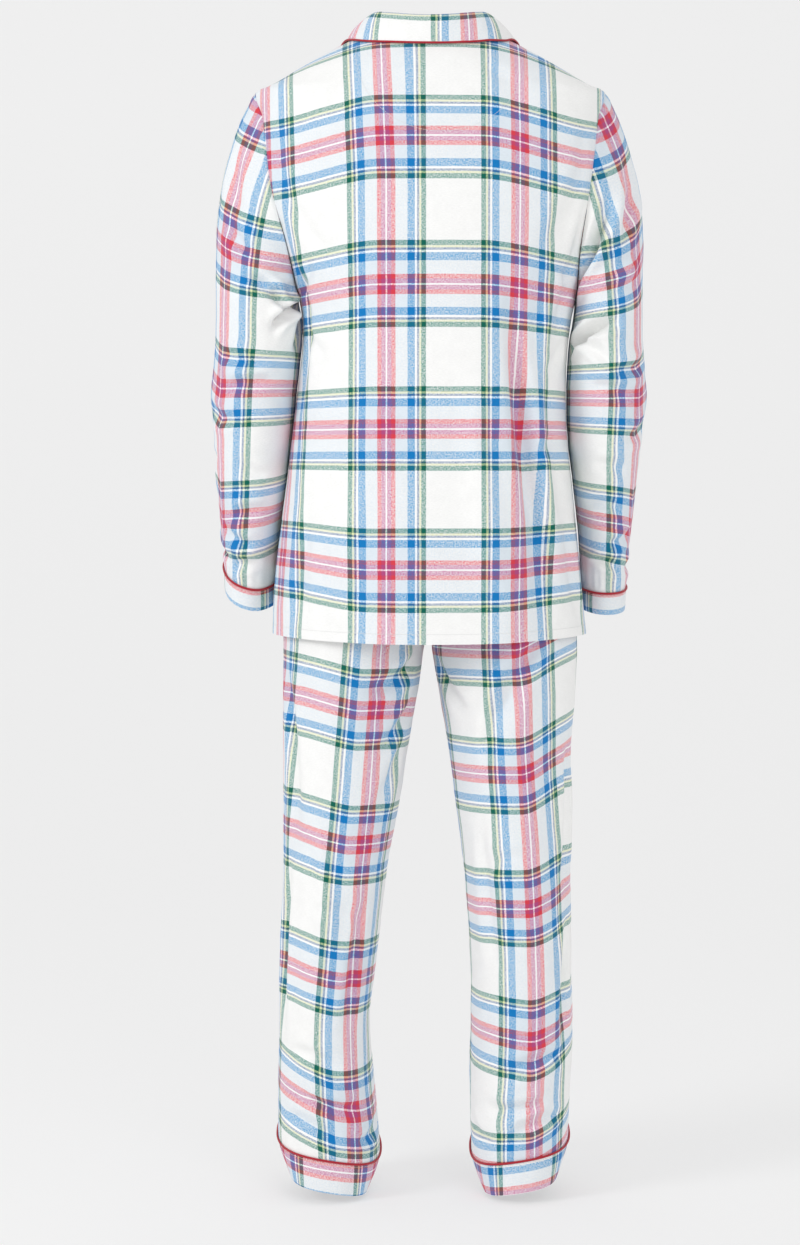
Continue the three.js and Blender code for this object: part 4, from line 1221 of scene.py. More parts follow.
class PyjamaCloth(bpy.types.PropertyGroup):
    """Sizes and yarn colours of the plaid."""

    thickness: length("Thickness", "Thickness of one layer of cloth", 0.0011, 0.0005, 0.003)
    repeat_across: length("Repeat across", "Width of one repeat of the plaid", 0.169, 0.02, 1)
    repeat_down: length("Repeat down", "Height of one repeat of the plaid", 0.1815, 0.02, 1)
    twill_pitch: length("Twill pitch", "Distance between the weave's slanting lines", 0.0009, 0.0003, 0.005)
    ground: colour("Ground", "White yarn between the groups of stripes", 0.965, 0.965, 0.96)
    green: colour("Green", "Outermost stripes", 0.05, 0.53, 0.46)
    cream: colour("Cream", "Fine yellowish stripes", 0.89, 0.9, 0.7)
    slate: colour("Slate", "Fine grey-blue stripes", 0.42, 0.53, 0.68)
    white: colour("White", "Fine white stripes", 1, 1, 1)
    blue: colour("Blue", "Bright blue stripes", 0.06, 0.6, 0.83)
    pale: colour("Pale", "Wide pale stripes", 0.875, 0.91, 0.94)
    red: colour("Red", "Red stripes in the middle", 0.9, 0.37, 0.43)
    mauve: colour("Mauve", "Mauve stripes in the middle", 0.79, 0.42, 0.63)


class PyjamaTrim(bpy.types.PropertyGroup):
    """Sizes and colours of the piping, buttons and stitches."""

    piping_radius: length("Piping radius", "Radius of the round piping", 0.0015, 0.0005, 0.004)
    piping_colour: colour("Piping colour", "Crimson of the piping", 0.72, 0.07, 0.16)
    button_colour: colour("Button colour", "Off-white of the buttons", 0.93, 0.92, 0.89)
    stitch_pitch: length("Stitch pitch", "Distance from one stitch to the next", 0.003, 0.001, 0.01)


class PyjamaStage(bpy.types.PropertyGroup):
    """Light, floor and camera."""

    key_power: FloatProperty(
        name="Key light", description="Power of the large soft light at the wearer's left",
        default=77, min=0, max=5000, unit="POWER",
    )
    fill_power: FloatProperty(
        name="Fill light", description="Power of the weak light at the other side",
        default=28, min=0, max=5000, unit="POWER",
    )
    surroundings: FloatProperty(
        name="Surroundings", description="Strength of the even light from all around",
        default=0.68, min=0, max=5,
    )
    lens: FloatProperty(
        name="Lens", description="Focal length on a 36 mm sensor, in millimetres",
        default=82.3, min=10, max=500,
    )


# Columns and rows of the grids
BACK_SHARES = spaced((-1, -0.955, 0.955, 1), (5, 108, 5))
SHIRT_LEVELS = spaced((-786, -768, -345, -60, 0), (7, 112, 76, 16))
FRONT_SHARES = spaced((0, 0.05, 0.8, 1), (5, 38, 13))
SLEEVE_TURNS = np.linspace(0, 360, 144, endpoint=False)
CAP_SHARES = spaced((0, 0.06, 1), (4, 52))
LEG_SHARES = spaced((0, 0.03, 0.97, 1), (4, 66, 4))
TROUSER_LEVELS = spaced((-478, -748, -760, -790, -1408, -1428), (50, 4, 6, 150, 6))
BAND_SHARES = np.concatenate([np.linspace(0, 1, 60), np.linspace(-1, 0, 60)[1:-1]])

# The row and column of the grids that the stitches of the hems and front edges follow
HEM_ROW = 5
EDGE_COLUMN = -2
# Middle across, top level, half width and depth of the half-moon of stitches on the back
HALF_MOON = (-13, -40, 108, 104)
SEAM_DEPTH = 0.8
SEAM_REACH = 4
SHIRT_MM_PER_DEGREE = 2.6
SLEEVE_MM_PER_DEGREE = 1.14
LEG_MM_PER_DEGREE = 1.55
# How much deeper the creases of their tables are pressed
SHIRT_CREASING = 1.25
SLEEVE_CREASING = 1.6
LEG_CREASING = 1.8
# How far from a seam or opening creases have faded out
CREASE_FADE = 26
BAND_WALL = 2.2
BAND_PROUD = 0.5
WAISTBAND_WALL = 2.6
# How far out of its seam the piping at the top of a band stands, in shares of its radius
PIPING_SHOWS = 0.35


def seam_dip(distance):
    """The dip of cloth towards a seam, from how far away the seam is."""
    return -SEAM_DEPTH * np.exp(-((distance / SEAM_REACH) ** 2))


def band_walls(base, normal, down, height, swell):
    """Outer and inner points of a turned band, rounded in at its upper and lower edges."""
    soft = -0.7 * np.exp(-((down / 2) ** 2)) - 0.5 * np.exp(-(((height - down) / 2.5) ** 2))
    outer = base + normal * (BAND_PROUD + soft + swell)[..., None]
    inner = base + normal * (BAND_PROUD - BAND_WALL - 0.4 * soft + swell)[..., None]
    return outer, inner


def shirt_relief(turn, level):
    """How far creases, waviness and seams move the shirt's body in or out."""
    swing = armhole_swing(level)
    off = (np.abs(turn) - 90) * SHIRT_MM_PER_DEGREE
    from_armhole = np.abs(np.abs(off) - swing * SHIRT_MM_PER_DEGREE)
    beside = (level > UNDERARM) & (level < SHOULDER_TIP + 6)
    fade = np.where(beside, smooth(from_armhole / CREASE_FADE), 1)
    under = np.hypot(off, level - UNDERARM)
    fade = np.where(level <= UNDERARM, fade * smooth(under / CREASE_FADE), fade)
    fade = fade * (1 - smooth((level + 60) / 30))
    relief = SHIRT_CREASING * creases(SHIRT_CREASES, turn, level, SHIRT_MM_PER_DEGREE)
    relief = relief + unevenness(turn * SHIRT_MM_PER_DEGREE, level, 1, 0.55)
    beside_sleeve = smooth((16 - np.abs(np.abs(turn) - 94)) / 8)
    relief = relief * (1 - 0.8 * beside_sleeve)
    side_seam = np.where(level < UNDERARM + 8, np.abs(off), np.where(beside, from_armhole, 99))
    shoulder = np.where((np.abs(off) < 30) & (level > SHOULDER_TIP + 6), np.abs(off), 99)
    return relief * fade + seam_dip(np.minimum(side_seam, shoulder))


def shirt_grids(turn, level, lift=None):
    """A panel of the shirt: its solid's points, and its outer and inner ones."""
    turn, level = np.broadcast_arrays(turn, level)
    base = shirt_point(turn, level)
    normal = shirt_normal(turn, level)
    relief = shirt_relief(turn, level)
    if lift is not None:
        relief = relief + lift(base[..., 0], level)
    hem = 1 + 0.9 * smooth((SHIRT_HEM + 14 - level) / 2)
    outer = base + normal * (relief + 0.35 * (hem - 1))[..., None]
    return base, outer, outer - normal * (cloth_thickness() * hem)[..., None]


class PYJAMA_OT_shirt_back(bpy.types.Operator):
    """Make the shirt's back in one piece"""

    bl_idname = "pyjama.shirt_back"
    bl_label = "Shirt back"

    def execute(self, context):
        level = SHIRT_LEVELS[:, None]
        turn = BACK_SHARES[None, :] * (90 - armhole_swing(level))
        base, outer, inner = shirt_grids(turn, level)
        cloth_piece("shirt_back", outer, inner, shirt_cloth(turn, level, base, BACK_GROUPS, 1))
        normal = shirt_normal(turn[HEM_ROW], SHIRT_LEVELS[HEM_ROW])
        stitch_row("shirt_back_hem_stitches", outer[HEM_ROW], normal)
        self.stitch_half_moon()
        return {"FINISHED"}

    def stitch_half_moon(self):
        """The half-moon of stitches below the collar."""
        across, top, half, deep = HALF_MOON
        bend = np.linspace(-0.15, math.pi + 0.15, 160)
        level = top - deep * np.sin(bend)
        turn = 180 - front_turn(across + half * np.cos(bend), level)
        _, points, _ = shirt_grids(turn, level)
        stitch_row("shirt_back_half_moon_stitches", points, shirt_normal(turn, level))


class PYJAMA_OT_shirt_fronts(bpy.types.Operator):
    """Make the two fronts, left over right"""

    bl_idname = "pyjama.shirt_fronts"
    bl_label = "Shirt fronts"

    def execute(self, context):
        level = SHIRT_LEVELS[:, None]
        for name, side in SIDES:
            start = 90 + armhole_swing(level)
            end = front_turn(front_edge(level), level)
            turn = side * (start + (end - start) * FRONT_SHARES[None, :])
            lift = overlap_lift if side > 0 else None
            base, outer, inner = shirt_grids(turn, level, lift)
            piece = f"shirt_front_{name}"
            cloth_piece(piece, outer, inner, shirt_cloth(turn, level, base, FRONT_GROUPS, -1))
            normal = shirt_normal(turn, level)
            stitch_row(f"{piece}_hem_stitches", outer[HEM_ROW], normal[HEM_ROW])
            rows = np.flatnonzero(SHIRT_LEVELS < LAPEL_BREAK)
            stitch_row(f"{piece}_edge_stitches", outer[rows, EDGE_COLUMN], normal[rows, EDGE_COLUMN])
        return {"FINISHED"}


LAPEL_FOOT = -132
LAPEL_HEIGHT = 66
LAPEL_WALL = 1.7


class PYJAMA_OT_lapels(bpy.types.Operator):
    """Make the turned-back tops of the fronts"""

    bl_idname = "pyjama.lapels"
    bl_label = "Lapels"

    def execute(self, context):
        share, across = np.meshgrid(np.linspace(0, 1, 40), np.linspace(0, 1, 30), indexing="ij")
        level = LAPEL_FOOT + LAPEL_HEIGHT * share
        width = 6 + 60 * np.minimum(1, share / 0.86) - 6 * smooth((share - 0.86) / 0.14)
        for name, side in SIDES:
            x = front_edge(level) + 0.5 + width * across
            lower = level - 16 * across * share
            turn = side * front_turn(x, lower)
            normal = shirt_normal(turn, lower)
            roll = 1.6 * np.exp(-((width * across / 9) ** 2))
            edge = 0.8 * np.exp(-(((1 - across) * width / 4) ** 2))
            base = 1.2 + roll - edge + (overlap_lift(x, level) if side > 0 else 0)
            base = base + unevenness(x, level, 4 + side, 0.3)
            inner = shirt_point(turn, lower) + normal * base[..., None]
            outer = inner + normal * LAPEL_WALL
            cloth_piece(f"lapel_{name}", outer, inner, np.stack([width * across - 30, level + 62], axis=-1))
        return {"FINISHED"}


COLLAR_WALL = 2.0
COLLAR_FOOT = 0.8
COLLAR_LIFT = 1.6
# Radius of the fold, how high up the stand it starts, and its row among the collar's points
FOLD_RADIUS = 0.8
FOLD_START = 0.85
FOLD_ROW = 12


def collar_sections(share):
    """The collar's under and upper points at stations from -1 at one front point to 1 at the other."""
    side = np.where(share < 0, -1, 1)
    at = np.abs(share)
    row = read(COLLAR_TABLE, at)
    down = np.clip((at - NECK_CORNER_AT) / (1 - NECK_CORNER_AT), 0, 1)
    seam_level = COLLAR_FRONT_LEVEL * down
    corner = front_turn(NECK_EDGE_WIDTH, 0)
    along_front = front_turn(front_edge(seam_level), seam_level)
    seam_turn = np.where(down > 0, along_front, corner * at / NECK_CORNER_AT)
    seam = shirt_point(side * seam_turn, seam_level)
    seam_normal = shirt_normal(side * seam_turn, seam_level)
    edge_normal = shirt_normal(side * row["edge_turn"], row["edge_level"])
    edge = shirt_point(side * row["edge_turn"], row["edge_level"])
    edge = edge + edge_normal * (COLLAR_LIFT + COLLAR_WALL)
    inward = unit(seam * np.array([-1, -1, 0]))
    beyond = unit(inward - seam_normal * (inward * seam_normal).sum(-1, keepdims=True))
    upright = row["upright"][:, None]
    up = unit(np.array([0, 0, 1]) * upright + beyond * (1 - upright))
    stand = row["stand"][:, None]
    fold = seam + up * (stand + 1.5) + seam_normal * 1.5
    foot = seam + up * COLLAR_FOOT
    out = edge - fold
    out = unit(out - up * (out * up).sum(-1, keepdims=True))
    under, upper = [], []

    def add(place, direction):
        under.append(place)
        upper.append(place + direction * COLLAR_WALL)

    for rise in np.linspace(0, FOLD_START, 9):
        add(foot + up * stand * rise, -out)
    crest = foot + up * stand * FOLD_START + out * FOLD_RADIUS
    for bend in np.linspace(15, 75, 5) * DEGREE:
        away = -out * np.cos(bend) + up * np.sin(bend)
        add(crest + away * FOLD_RADIUS, away)
    last = edge - edge_normal * COLLAR_WALL
    start = crest + out * FOLD_RADIUS
    wave = unevenness(share * 210, at * 40, 7, 0.5)[:, None]
    crumple = 1.3 * np.exp(-(((share + 0.27) / 0.05) ** 2)) - np.exp(-(((share + 0.4) / 0.04) ** 2))
    for s in np.linspace(0, 1, 22):
        bulge = 3 * math.sin(math.pi * s)
        rise = (wave + crumple[:, None]) * smooth(s * 3) * (0.4 + 0.6 * s)
        direction = unit((out * 0.6 + up * 0.4 * (1 - s)) * (1 - s) + edge_normal * s)
        add(start + (last - start) * s + edge_normal * bulge + direction * rise, direction)
    return np.stack(under), np.stack(upper)


COLLAR_SHARES = np.linspace(-1, 1, 241)


class PYJAMA_OT_collar(bpy.types.Operator):
    """Make the turned collar and the piping on its free edge"""

    bl_idname = "pyjama.collar"
    bl_label = "Collar and piping"

    def execute(self, context):
        under, upper = collar_sections(COLLAR_SHARES)
        run = run_along(upper, 0, np.broadcast_to(COLLAR_SHARES, upper.shape[:2]))
        steps = np.linalg.norm(np.diff(upper, axis=0), axis=-1)
        height = np.concatenate([np.zeros((1, run.shape[1])), np.cumsum(steps, axis=0)])
        from_fold = height[FOLD_ROW] - height
        uv = np.stack([run - COLLAR_GROUPS["across"], from_fold - COLLAR_GROUPS["above_fold"]], axis=-1)
        cloth_piece("collar", upper, under, uv)
        outward = unit(upper[-1] - under[-1])
        slope = under[-1] - under[-2]
        slope = unit(slope - outward * (slope * outward).sum(-1, keepdims=True))
        path = (under[-1] + upper[-1]) / 2 + slope * piping_radius() * 0.55
        piping("collar_piping", path, outward, is_ring=False)
        return {"FINISHED"}


BUTTON_LEVELS = (-180, -295, -410, -525, -640)
BUTTON_PROFILE = (
    (0, 0), (6.4, 0), (7.0, 0.25), (7.4, 0.8), (7.5, 1.5), (7.4, 2.2), (7.0, 2.75),
    (6.5, 3.0), (6.0, 2.95), (5.5, 2.65), (5.0, 2.25), (4.5, 2.05), (0, 2.0),
)
BUTTON_HOLE_RADIUS = 0.85
BUTTON_HOLE_PLACE = 1.5
BUTTON_SIDES = 64
# The middle of a turned disc starts as a ring this small, and all within this reach is merged
CENTRE_SHARE = 0.02
CENTRE_REACH = 0.2


class PYJAMA_OT_buttons(bpy.types.Operator):
    """Make the five buttons of the front, each with four holes and its thread"""

    bl_idname = "pyjama.buttons"
    bl_label = "Buttons"

    def execute(self, context):
        for number, level in enumerate(BUTTON_LEVELS, start=1):
            normal = shirt_normal(180.0, float(level))
            base = shirt_point(180.0, float(level)) + normal * (OVERLAP_LIFT + 0.5)
            turned = Vector((0, 0, 1)).rotation_difference(Vector(normal)).to_matrix().to_4x4()
            placed = Matrix.Translation(Vector(base * MM)) @ turned
            button = self.make_button(f"button_{number}_plastic")
            button.data.transform(placed)
            finish_piece(button, button_plastic(), "button", f"button_{number}")
            sewn = self.make_thread(f"button_{number}_thread")
            sewn.data.transform(placed)
            finish_piece(sewn, thread(), "plaid_cloth")
        return {"FINISHED"}

    def make_button(self, name):
        """Turns the profile and cuts four holes."""
        turns = np.linspace(0, 2 * np.pi, BUTTON_SIDES, endpoint=False)
        rings = np.stack([
            np.stack([r * np.cos(turns), r * np.sin(turns), np.full(BUTTON_SIDES, z)], axis=-1)
            for r, z in BUTTON_PROFILE[1:-1]
        ])
        centres = rings[[0, -1]] * np.array([CENTRE_SHARE, CENTRE_SHARE, 1])
        points = np.concatenate([centres[:1], rings, centres[1:]])
        r, c = grid_steps(len(points) - 1, BUTTON_SIDES)
        low, high = r * BUTTON_SIDES, (r + 1) * BUTTON_SIDES
        nxt = (c + 1) % BUTTON_SIDES
        faces = np.stack([low + c, low + nxt, high + nxt, high + c], axis=-1)
        button = mesh_object(name, points.reshape(-1, 3) * MM, faces)
        close_centres(button.data)
        cutters = [self.add_cutter(button, x, y) for x in (-1, 1) for y in (-1, 1)]
        evaluated = button.evaluated_get(bpy.context.evaluated_depsgraph_get())
        holed = bpy.data.meshes.new_from_object(evaluated)
        button.modifiers.clear()
        button.data = holed
        for cutter in cutters:
            bpy.data.objects.remove(cutter)
        holed.polygons.foreach_set("use_smooth", np.ones(len(holed.polygons), bool))
        holed.set_sharp_from_angle(angle=SHARP_BUTTON)
        return button

    def add_cutter(self, button, x, y):
        """A cylinder that cuts one of the button's holes."""
        place = BUTTON_HOLE_PLACE * MM
        bpy.ops.mesh.primitive_cylinder_add(
            vertices=20, radius=BUTTON_HOLE_RADIUS * MM, depth=10 * MM, location=(x * place, y * place, 0),
        )
        cut = button.modifiers.new("Hole", "BOOLEAN")
        cut.object = bpy.context.object
        cut.operation = "DIFFERENCE"
        cut.solver = "EXACT"
        return cut.object

    def make_thread(self, name):
        """Two crossing strands of two threads, from hole to hole and down through them."""
        objects = []
        s = np.linspace(-1, 1, 13)
        reach = s * BUTTON_HOLE_PLACE * 1.02
        drop = 3.2 * np.maximum(0, np.abs(s) - 0.86) / 0.14
        for side in (-1, 1):
            for aside in (-0.196, 0.196):
                rise = 2.35 + 0.2 * side * (1 - s**2) - drop
                path = np.stack([reach + aside, side * (reach - aside), rise], axis=-1)
                outward = np.tile([0.0, 0.0, 1.0], (len(path), 1))
                part = f"{name}_{len(objects)}"
                objects.append(cord_object(part, path, outward, 0.22, False, sides=8, flat=1))
        return joined(name, objects)


def close_centres(mesh):
    """Merges the tiny rings in the middle of a turned disc, below and above, into points."""
    work = bmesh.new()
    work.from_mesh(mesh)
    near = [v for v in work.verts if v.co.xy.length < CENTRE_REACH * MM]
    for level in (min(v.co.z for v in near), max(v.co.z for v in near)):
        ring = [v for v in near if v.is_valid and abs(v.co.z - level) < 1e-6]
        bmesh.ops.pointmerge(work, verts=ring, merge_co=Vector((0, 0, level)))
    work.to_mesh(mesh)
    work.free()


def joined(name, objects):
    """Joins several objects into one."""
    work = bmesh.new()
    for thing in objects:
        work.from_mesh(thing.data)
    mesh = bpy.data.meshes.new(name)
    work.to_mesh(mesh)
    work.free()
    for thing in objects:
        bpy.data.objects.remove(thing)
    mesh.polygons.foreach_set("use_smooth", np.ones(len(mesh.polygons), bool))
    whole = bpy.data.objects.new(name, mesh)
    bpy.context.scene.collection.objects.link(whole)
    return whole


SLEEVE_CLEARANCE = 0.9
# How much more room a sleeve leaves towards its cuff, at levels from low to high
CUFF_ROOM = ((-640, -540), (3.4, 0))


def from_inner_side(around):
    """How many degrees a place on a sleeve lies from its inner side, either way."""
    return (around + 180) % 360 - 180


def nearer_body(name, around, z):
    """How far a sleeve's inner side swells to lie close to the shirt's side."""
    ring = read(SLEEVE_RINGS[name], z)
    body = read(SHIRT_RINGS, z)
    depth = np.where(ring["middle"] > 0, body["back"], body["front"])
    side = body[name] * (1 - (np.abs(ring["middle"]) / depth) ** body["power"]) ** (1 / body["power"])
    clearance = SLEEVE_CLEARANCE + np.interp(z, *CUFF_ROOM)
    gap = np.maximum(0, ring["inner"] - side - clearance)
    return gap * np.exp(-((from_inner_side(around) / 32) ** 2)) * smooth((-352 - z) / 30)


def sleeve_relief(name, around, z, from_seam, to_cuff):
    """How far creases and waviness move a sleeve in or out."""
    fade = smooth(from_seam / CREASE_FADE) * smooth(to_cuff / 12)
    relief = SLEEVE_CREASING * creases(SLEEVE_CREASES[name], around, z, SLEEVE_MM_PER_DEGREE)
    beside_body = np.exp(-((from_inner_side(around) / 10) ** 2))
    relief = relief * (1 - 0.9 * beside_body)
    seed = 2 if name == "left" else 3
    relief = relief + unevenness(around * SLEEVE_MM_PER_DEGREE, z, seed, 0.5)
    gathers = 0.7 * np.sin(around * DEGREE * 17 + 3 * np.sin(around * DEGREE * 2 + seed))
    relief = relief + gathers * smooth((50 - to_cuff) / 50)
    head = 1.1 * np.exp(-(((from_seam - 7) / 6) ** 2)) * smooth((z + 330) / 60)
    head = head + nearer_body(name, around, z)
    return relief * fade + head + seam_dip(from_seam) * 0.6 + seam_dip(to_cuff) * 0.6


class PYJAMA_OT_sleeves(bpy.types.Operator):
    """Make the two sleeves with their cuffs and the piping at the top of each cuff"""

    bl_idname = "pyjama.sleeves"
    bl_label = "Sleeves and cuffs"

    def execute(self, context):
        for name, side in SIDES:
            self.make_sleeve(name, side)
            self.make_cuff(name, side)
        return {"FINISHED"}

    def make_sleeve(self, name, side):
        """One sleeve, from the armhole seam to the cuff."""
        around = SLEEVE_TURNS[None, :]
        cap = sleeve_cap_point(name, side, around, CAP_SHARES[:-1, None])
        levels = spaced((SLEEVE_TOP_RING, CUFF_SEAM[name] + 12, CUFF_SEAM[name]), (104, 5))
        lower = sleeve_ring_point(name, side, around, levels[:, None])
        base = np.concatenate([cap, lower])
        normal = grid_normals(base)
        _, body = armhole(side, SLEEVE_TURNS)
        own = normal[0]
        toward = smooth((own * body).sum(axis=-1, keepdims=True) * 1.6)
        normal[0] = unit(own + (body - own) * toward)
        steps = np.linalg.norm(np.diff(base, axis=0), axis=-1)
        from_seam = np.concatenate([np.zeros((1, steps.shape[1])), np.cumsum(steps, axis=0)])
        z = np.concatenate([cap[..., 2], np.broadcast_to(levels[:, None], lower.shape[:2])])
        turns = np.broadcast_to(around, z.shape)
        relief = sleeve_relief(name, turns, z, from_seam, from_seam[-1] - from_seam)
        outer = base + normal * relief[..., None]
        inner = outer - normal * cloth_thickness()
        run = run_round(base, 90, SLEEVE_TURNS)
        run[:len(cap)] = run[len(cap)]
        high = np.concatenate([z, z[:, :1]], axis=1)
        across = run - SLEEVE_GROUPS[name]["across"]
        tilt = read(SLEEVE_TILTS[name], high)
        rise = 60 * np.tanh(across / 60) * np.where(across > 0, tilt["outside"], -tilt["inside"])
        uv = np.stack([across, pattern_down(high - rise, SLEEVE_GROUPS[name])], axis=-1)
        cloth_piece(f"sleeve_{name}", outer, inner, uv, is_tube=True)

    def make_cuff(self, name, side):
        """The turned cuff and its piping."""
        levels = np.linspace(CUFF_SEAM[name], CUFF_SEAM[name] - CUFF_HEIGHT, 9)
        base = sleeve_ring_point(name, side, SLEEVE_TURNS[None, :], levels[:, None])
        normal = grid_normals(base)
        down = (CUFF_SEAM[name] - levels)[:, None]
        nearer = nearer_body(name, SLEEVE_TURNS[None, :], levels[:, None])
        outer, inner = band_walls(base, normal, down, CUFF_HEIGHT, nearer)
        run = run_round(base, 90, SLEEVE_TURNS)
        place = np.broadcast_to(-down + CUFF_TOP_FROM_GROUP[name], run.shape)
        uv = np.stack([run - SLEEVE_GROUPS[name]["across"] - 50, place], axis=-1)
        cloth_piece(f"cuff_{name}", outer, inner, uv, is_tube=True)
        stitch_row(f"cuff_{name}_stitches", outer[1], normal[1], is_ring=True)
        proud = BAND_PROUD + nearer[0][:, None] + piping_radius() * PIPING_SHOWS
        piping(f"cuff_piping_{name}", base[0] + normal[0] * proud, normal[0])


GATHERS = 61
GATHER_DEPTH = 0.9
# How much longer the waistband's cloth is than its elastic, as its plaid shows
GATHERED_IN = 1.25


class PYJAMA_OT_waistband(bpy.types.Operator):
    """Make the elastic waistband, gathered in small folds"""

    bl_idname = "pyjama.waistband"
    bl_label = "Waistband"

    def execute(self, context):
        count = 180
        share = 1 - 2 * np.arange(count) / count
        top = np.full(count, float(TROUSER_TOP))
        left = leg_point("left", share, top)
        right = leg_point("right", -share, top)
        left[0, 0] = 0
        right[0, 0] = 0
        levels = np.linspace(TROUSER_TOP, WAISTBAND_TOP, 13)
        base = np.repeat(np.concatenate([left, right])[None], len(levels), axis=0)
        base[..., 2] = levels[:, None]
        normal = grid_normals(base)
        around = np.arange(2 * count) / (2 * count) * 2 * np.pi
        rise = np.linspace(0, 1, len(levels))[:, None]
        gathers = GATHER_DEPTH * np.sin(around * GATHERS + 2 * np.sin(around * 5))
        gathers = gathers * (0.55 + 0.45 * np.cos(rise * 6.3) ** 2)
        outer = base + normal * (BAND_PROUD + gathers - GATHER_DEPTH)[..., None]
        inner = outer - normal * (WAISTBAND_WALL - 1.0)
        run = run_round(base, np.pi / 2, around, 2 * np.pi)
        uv = np.stack([run * GATHERED_IN, np.broadcast_to(levels[:, None] + 500, run.shape)], axis=-1)
        cloth_piece("waistband", outer, inner, uv, is_tube=True)
        for row in (2, 6, 10):
            stitch_row(f"waistband_stitches_{row}", outer[row], normal[row], is_ring=True)
        return {"FINISHED"}


# How far from the middle the two legs' cloth stays above the crotch
MIDDLE_GAP = 0.05


def leg_relief(name, share, level):
    """How far creases, waviness and seams move a leg in or out."""
    around = share * 180
    relief = LEG_CREASING * creases(LEG_CREASES[name], around, level, LEG_MM_PER_DEGREE)
    relief = relief + unevenness(around * LEG_MM_PER_DEGREE, level, 5 if name == "left" else 6, 0.6)
    fade = smooth((level - HEM_SEAM) / 14)
    above = smooth((level - CROTCH + 40) / 60)
    fade = fade * (1 - above * (1 - smooth((1 - np.abs(share)) / 0.2)))
    fade = fade * (1 - smooth((level - TROUSER_TOP + 30) / 20))
    edge = np.minimum(np.abs(share), 1 - np.abs(share)) * 250
    fade = fade * (1 - smooth((level + 745) / 25))
    drawn_in = 3.2 * smooth((level + 770) / 40) + 5 * smooth((level + 740) / 70)
    drawn_in = drawn_in * (1 - smooth((level - TROUSER_TOP + 22) / 18))
    relief = relief * fade - drawn_in * smooth((1 - np.abs(share)) / 0.1)
    return relief + seam_dip(edge) * 0.8 + seam_dip(level - HEM_SEAM) * 0.6


class PYJAMA_OT_trousers(bpy.types.Operator):
    """Make the four leg panels of the trousers"""

    bl_idname = "pyjama.trousers"
    bl_label = "Trouser legs"

    def execute(self, context):
        for name, side in SIDES:
            for face, place in ((1, "back"), (-1, "front")):
                self.make_panel(name, side, face, place)
        return {"FINISHED"}

    def make_panel(self, name, side, face, place):
        """One leg panel, from the outer seam to the inner or middle seam."""
        level, share = np.meshgrid(TROUSER_LEVELS, face * LEG_SHARES, indexing="ij")
        base = leg_point(name, share, level)
        normal = self.panel_normals(name, side, face, base)
        outer = base + normal * leg_relief(name, share, level)[..., None]
        inner = outer - normal * cloth_thickness()
        for points in (outer, inner):
            points[..., 2] -= hem_drop(share, level)
            past_middle = (side * points[..., 0] < MIDDLE_GAP) & (level > CROTCH)
            points[..., 0] = np.where(past_middle, side * MIDDLE_GAP, points[..., 0])
        groups = LEG_GROUPS[name]
        run = run_along(base, 90, np.abs(share) * leg_end(level))
        across = -run - groups["across"]
        tilt = read(LEG_TILTS[name], level)
        rise = eased_rise(across - tilt["start"]) * tilt["outside"] + eased_rise(-across) * tilt["inside"]
        uv = np.stack([across, pattern_down(level - rise, groups)], axis=-1)
        cloth_piece(f"trouser_{place}_{name}", outer, inner, uv)

    def panel_normals(self, name, side, face, base):
        """A panel's outward directions, which meet the other leg's at the middle seam."""
        ring = read(TROUSER_RINGS, TROUSER_LEVELS)
        inner_x = np.where(TROUSER_LEVELS < CROTCH, ring["inner_" + name], 0)
        centre_x = side * (ring["outer_" + name] + inner_x) / 2
        centre = np.stack([centre_x, ring["middle"], TROUSER_LEVELS], axis=-1)
        normal = grid_normals(base, False, centre[:, None])
        turned = np.clip(ring["split"], 0, 1)[:, None] ** 4
        middle = unit(np.stack([-side * turned, face * (1 - turned), 0 * turned], axis=-1))
        blend = smooth((LEG_SHARES[None, :] - 0.93) / 0.07) * (TROUSER_LEVELS > CROTCH)[:, None]
        return unit(normal * (1 - blend[..., None]) + middle * blend[..., None])


def hem_drop(share, level):
    """How much lower a leg's end hangs than its solid, most at the sides."""
    aside = np.cos(share * np.pi)
    drop = 2 + 12 * aside**2 + 3 * (1 - aside)
    return drop * smooth((HEM_DROP_START - level) / (HEM_DROP_START - HEM_SEAM))


class PYJAMA_OT_hem_bands(bpy.types.Operator):
    """Make the turned bands at the leg ends and their piping"""

    bl_idname = "pyjama.hem_bands"
    bl_label = "Hem bands and piping"

    def execute(self, context):
        levels = np.linspace(HEM_SEAM, HEM_SEAM - HEM_HEIGHT, 13)
        for name, _ in SIDES:
            base = leg_point(name, BAND_SHARES[None, :], levels[:, None])
            base[..., 2] -= hem_drop(BAND_SHARES[None, :], levels[:, None])
            normal = grid_normals(base)
            down = (HEM_SEAM - levels)[:, None]
            turns = np.mod(BAND_SHARES, 2) * 180
            wave = unevenness(turns[None, :] * 1.5, -down, 9, 0.5) * smooth(down / 10)
            wave = wave - HEM_TAPER * (down / HEM_HEIGHT) ** 1.3 * np.cos(turns * DEGREE) ** 2
            outer, inner = band_walls(base, normal, down, HEM_HEIGHT, wave)
            run = run_round(base, 90, turns)
            place = np.broadcast_to(-down + HEM_TOP_FROM_GROUP[name], run.shape)
            uv = np.stack([-run - HEM_BAND_ACROSS[name], place], axis=-1)
            cloth_piece(f"hem_band_{name}", outer, inner, uv, is_tube=True)
            stitch_row(f"hem_band_{name}_stitches", outer[1], normal[1], is_ring=True)
            proud = BAND_PROUD + piping_radius() * PIPING_SHOWS
            piping(f"hem_piping_{name}", base[0] + normal[0] * proud, normal[0])
        return {"FINISHED"}


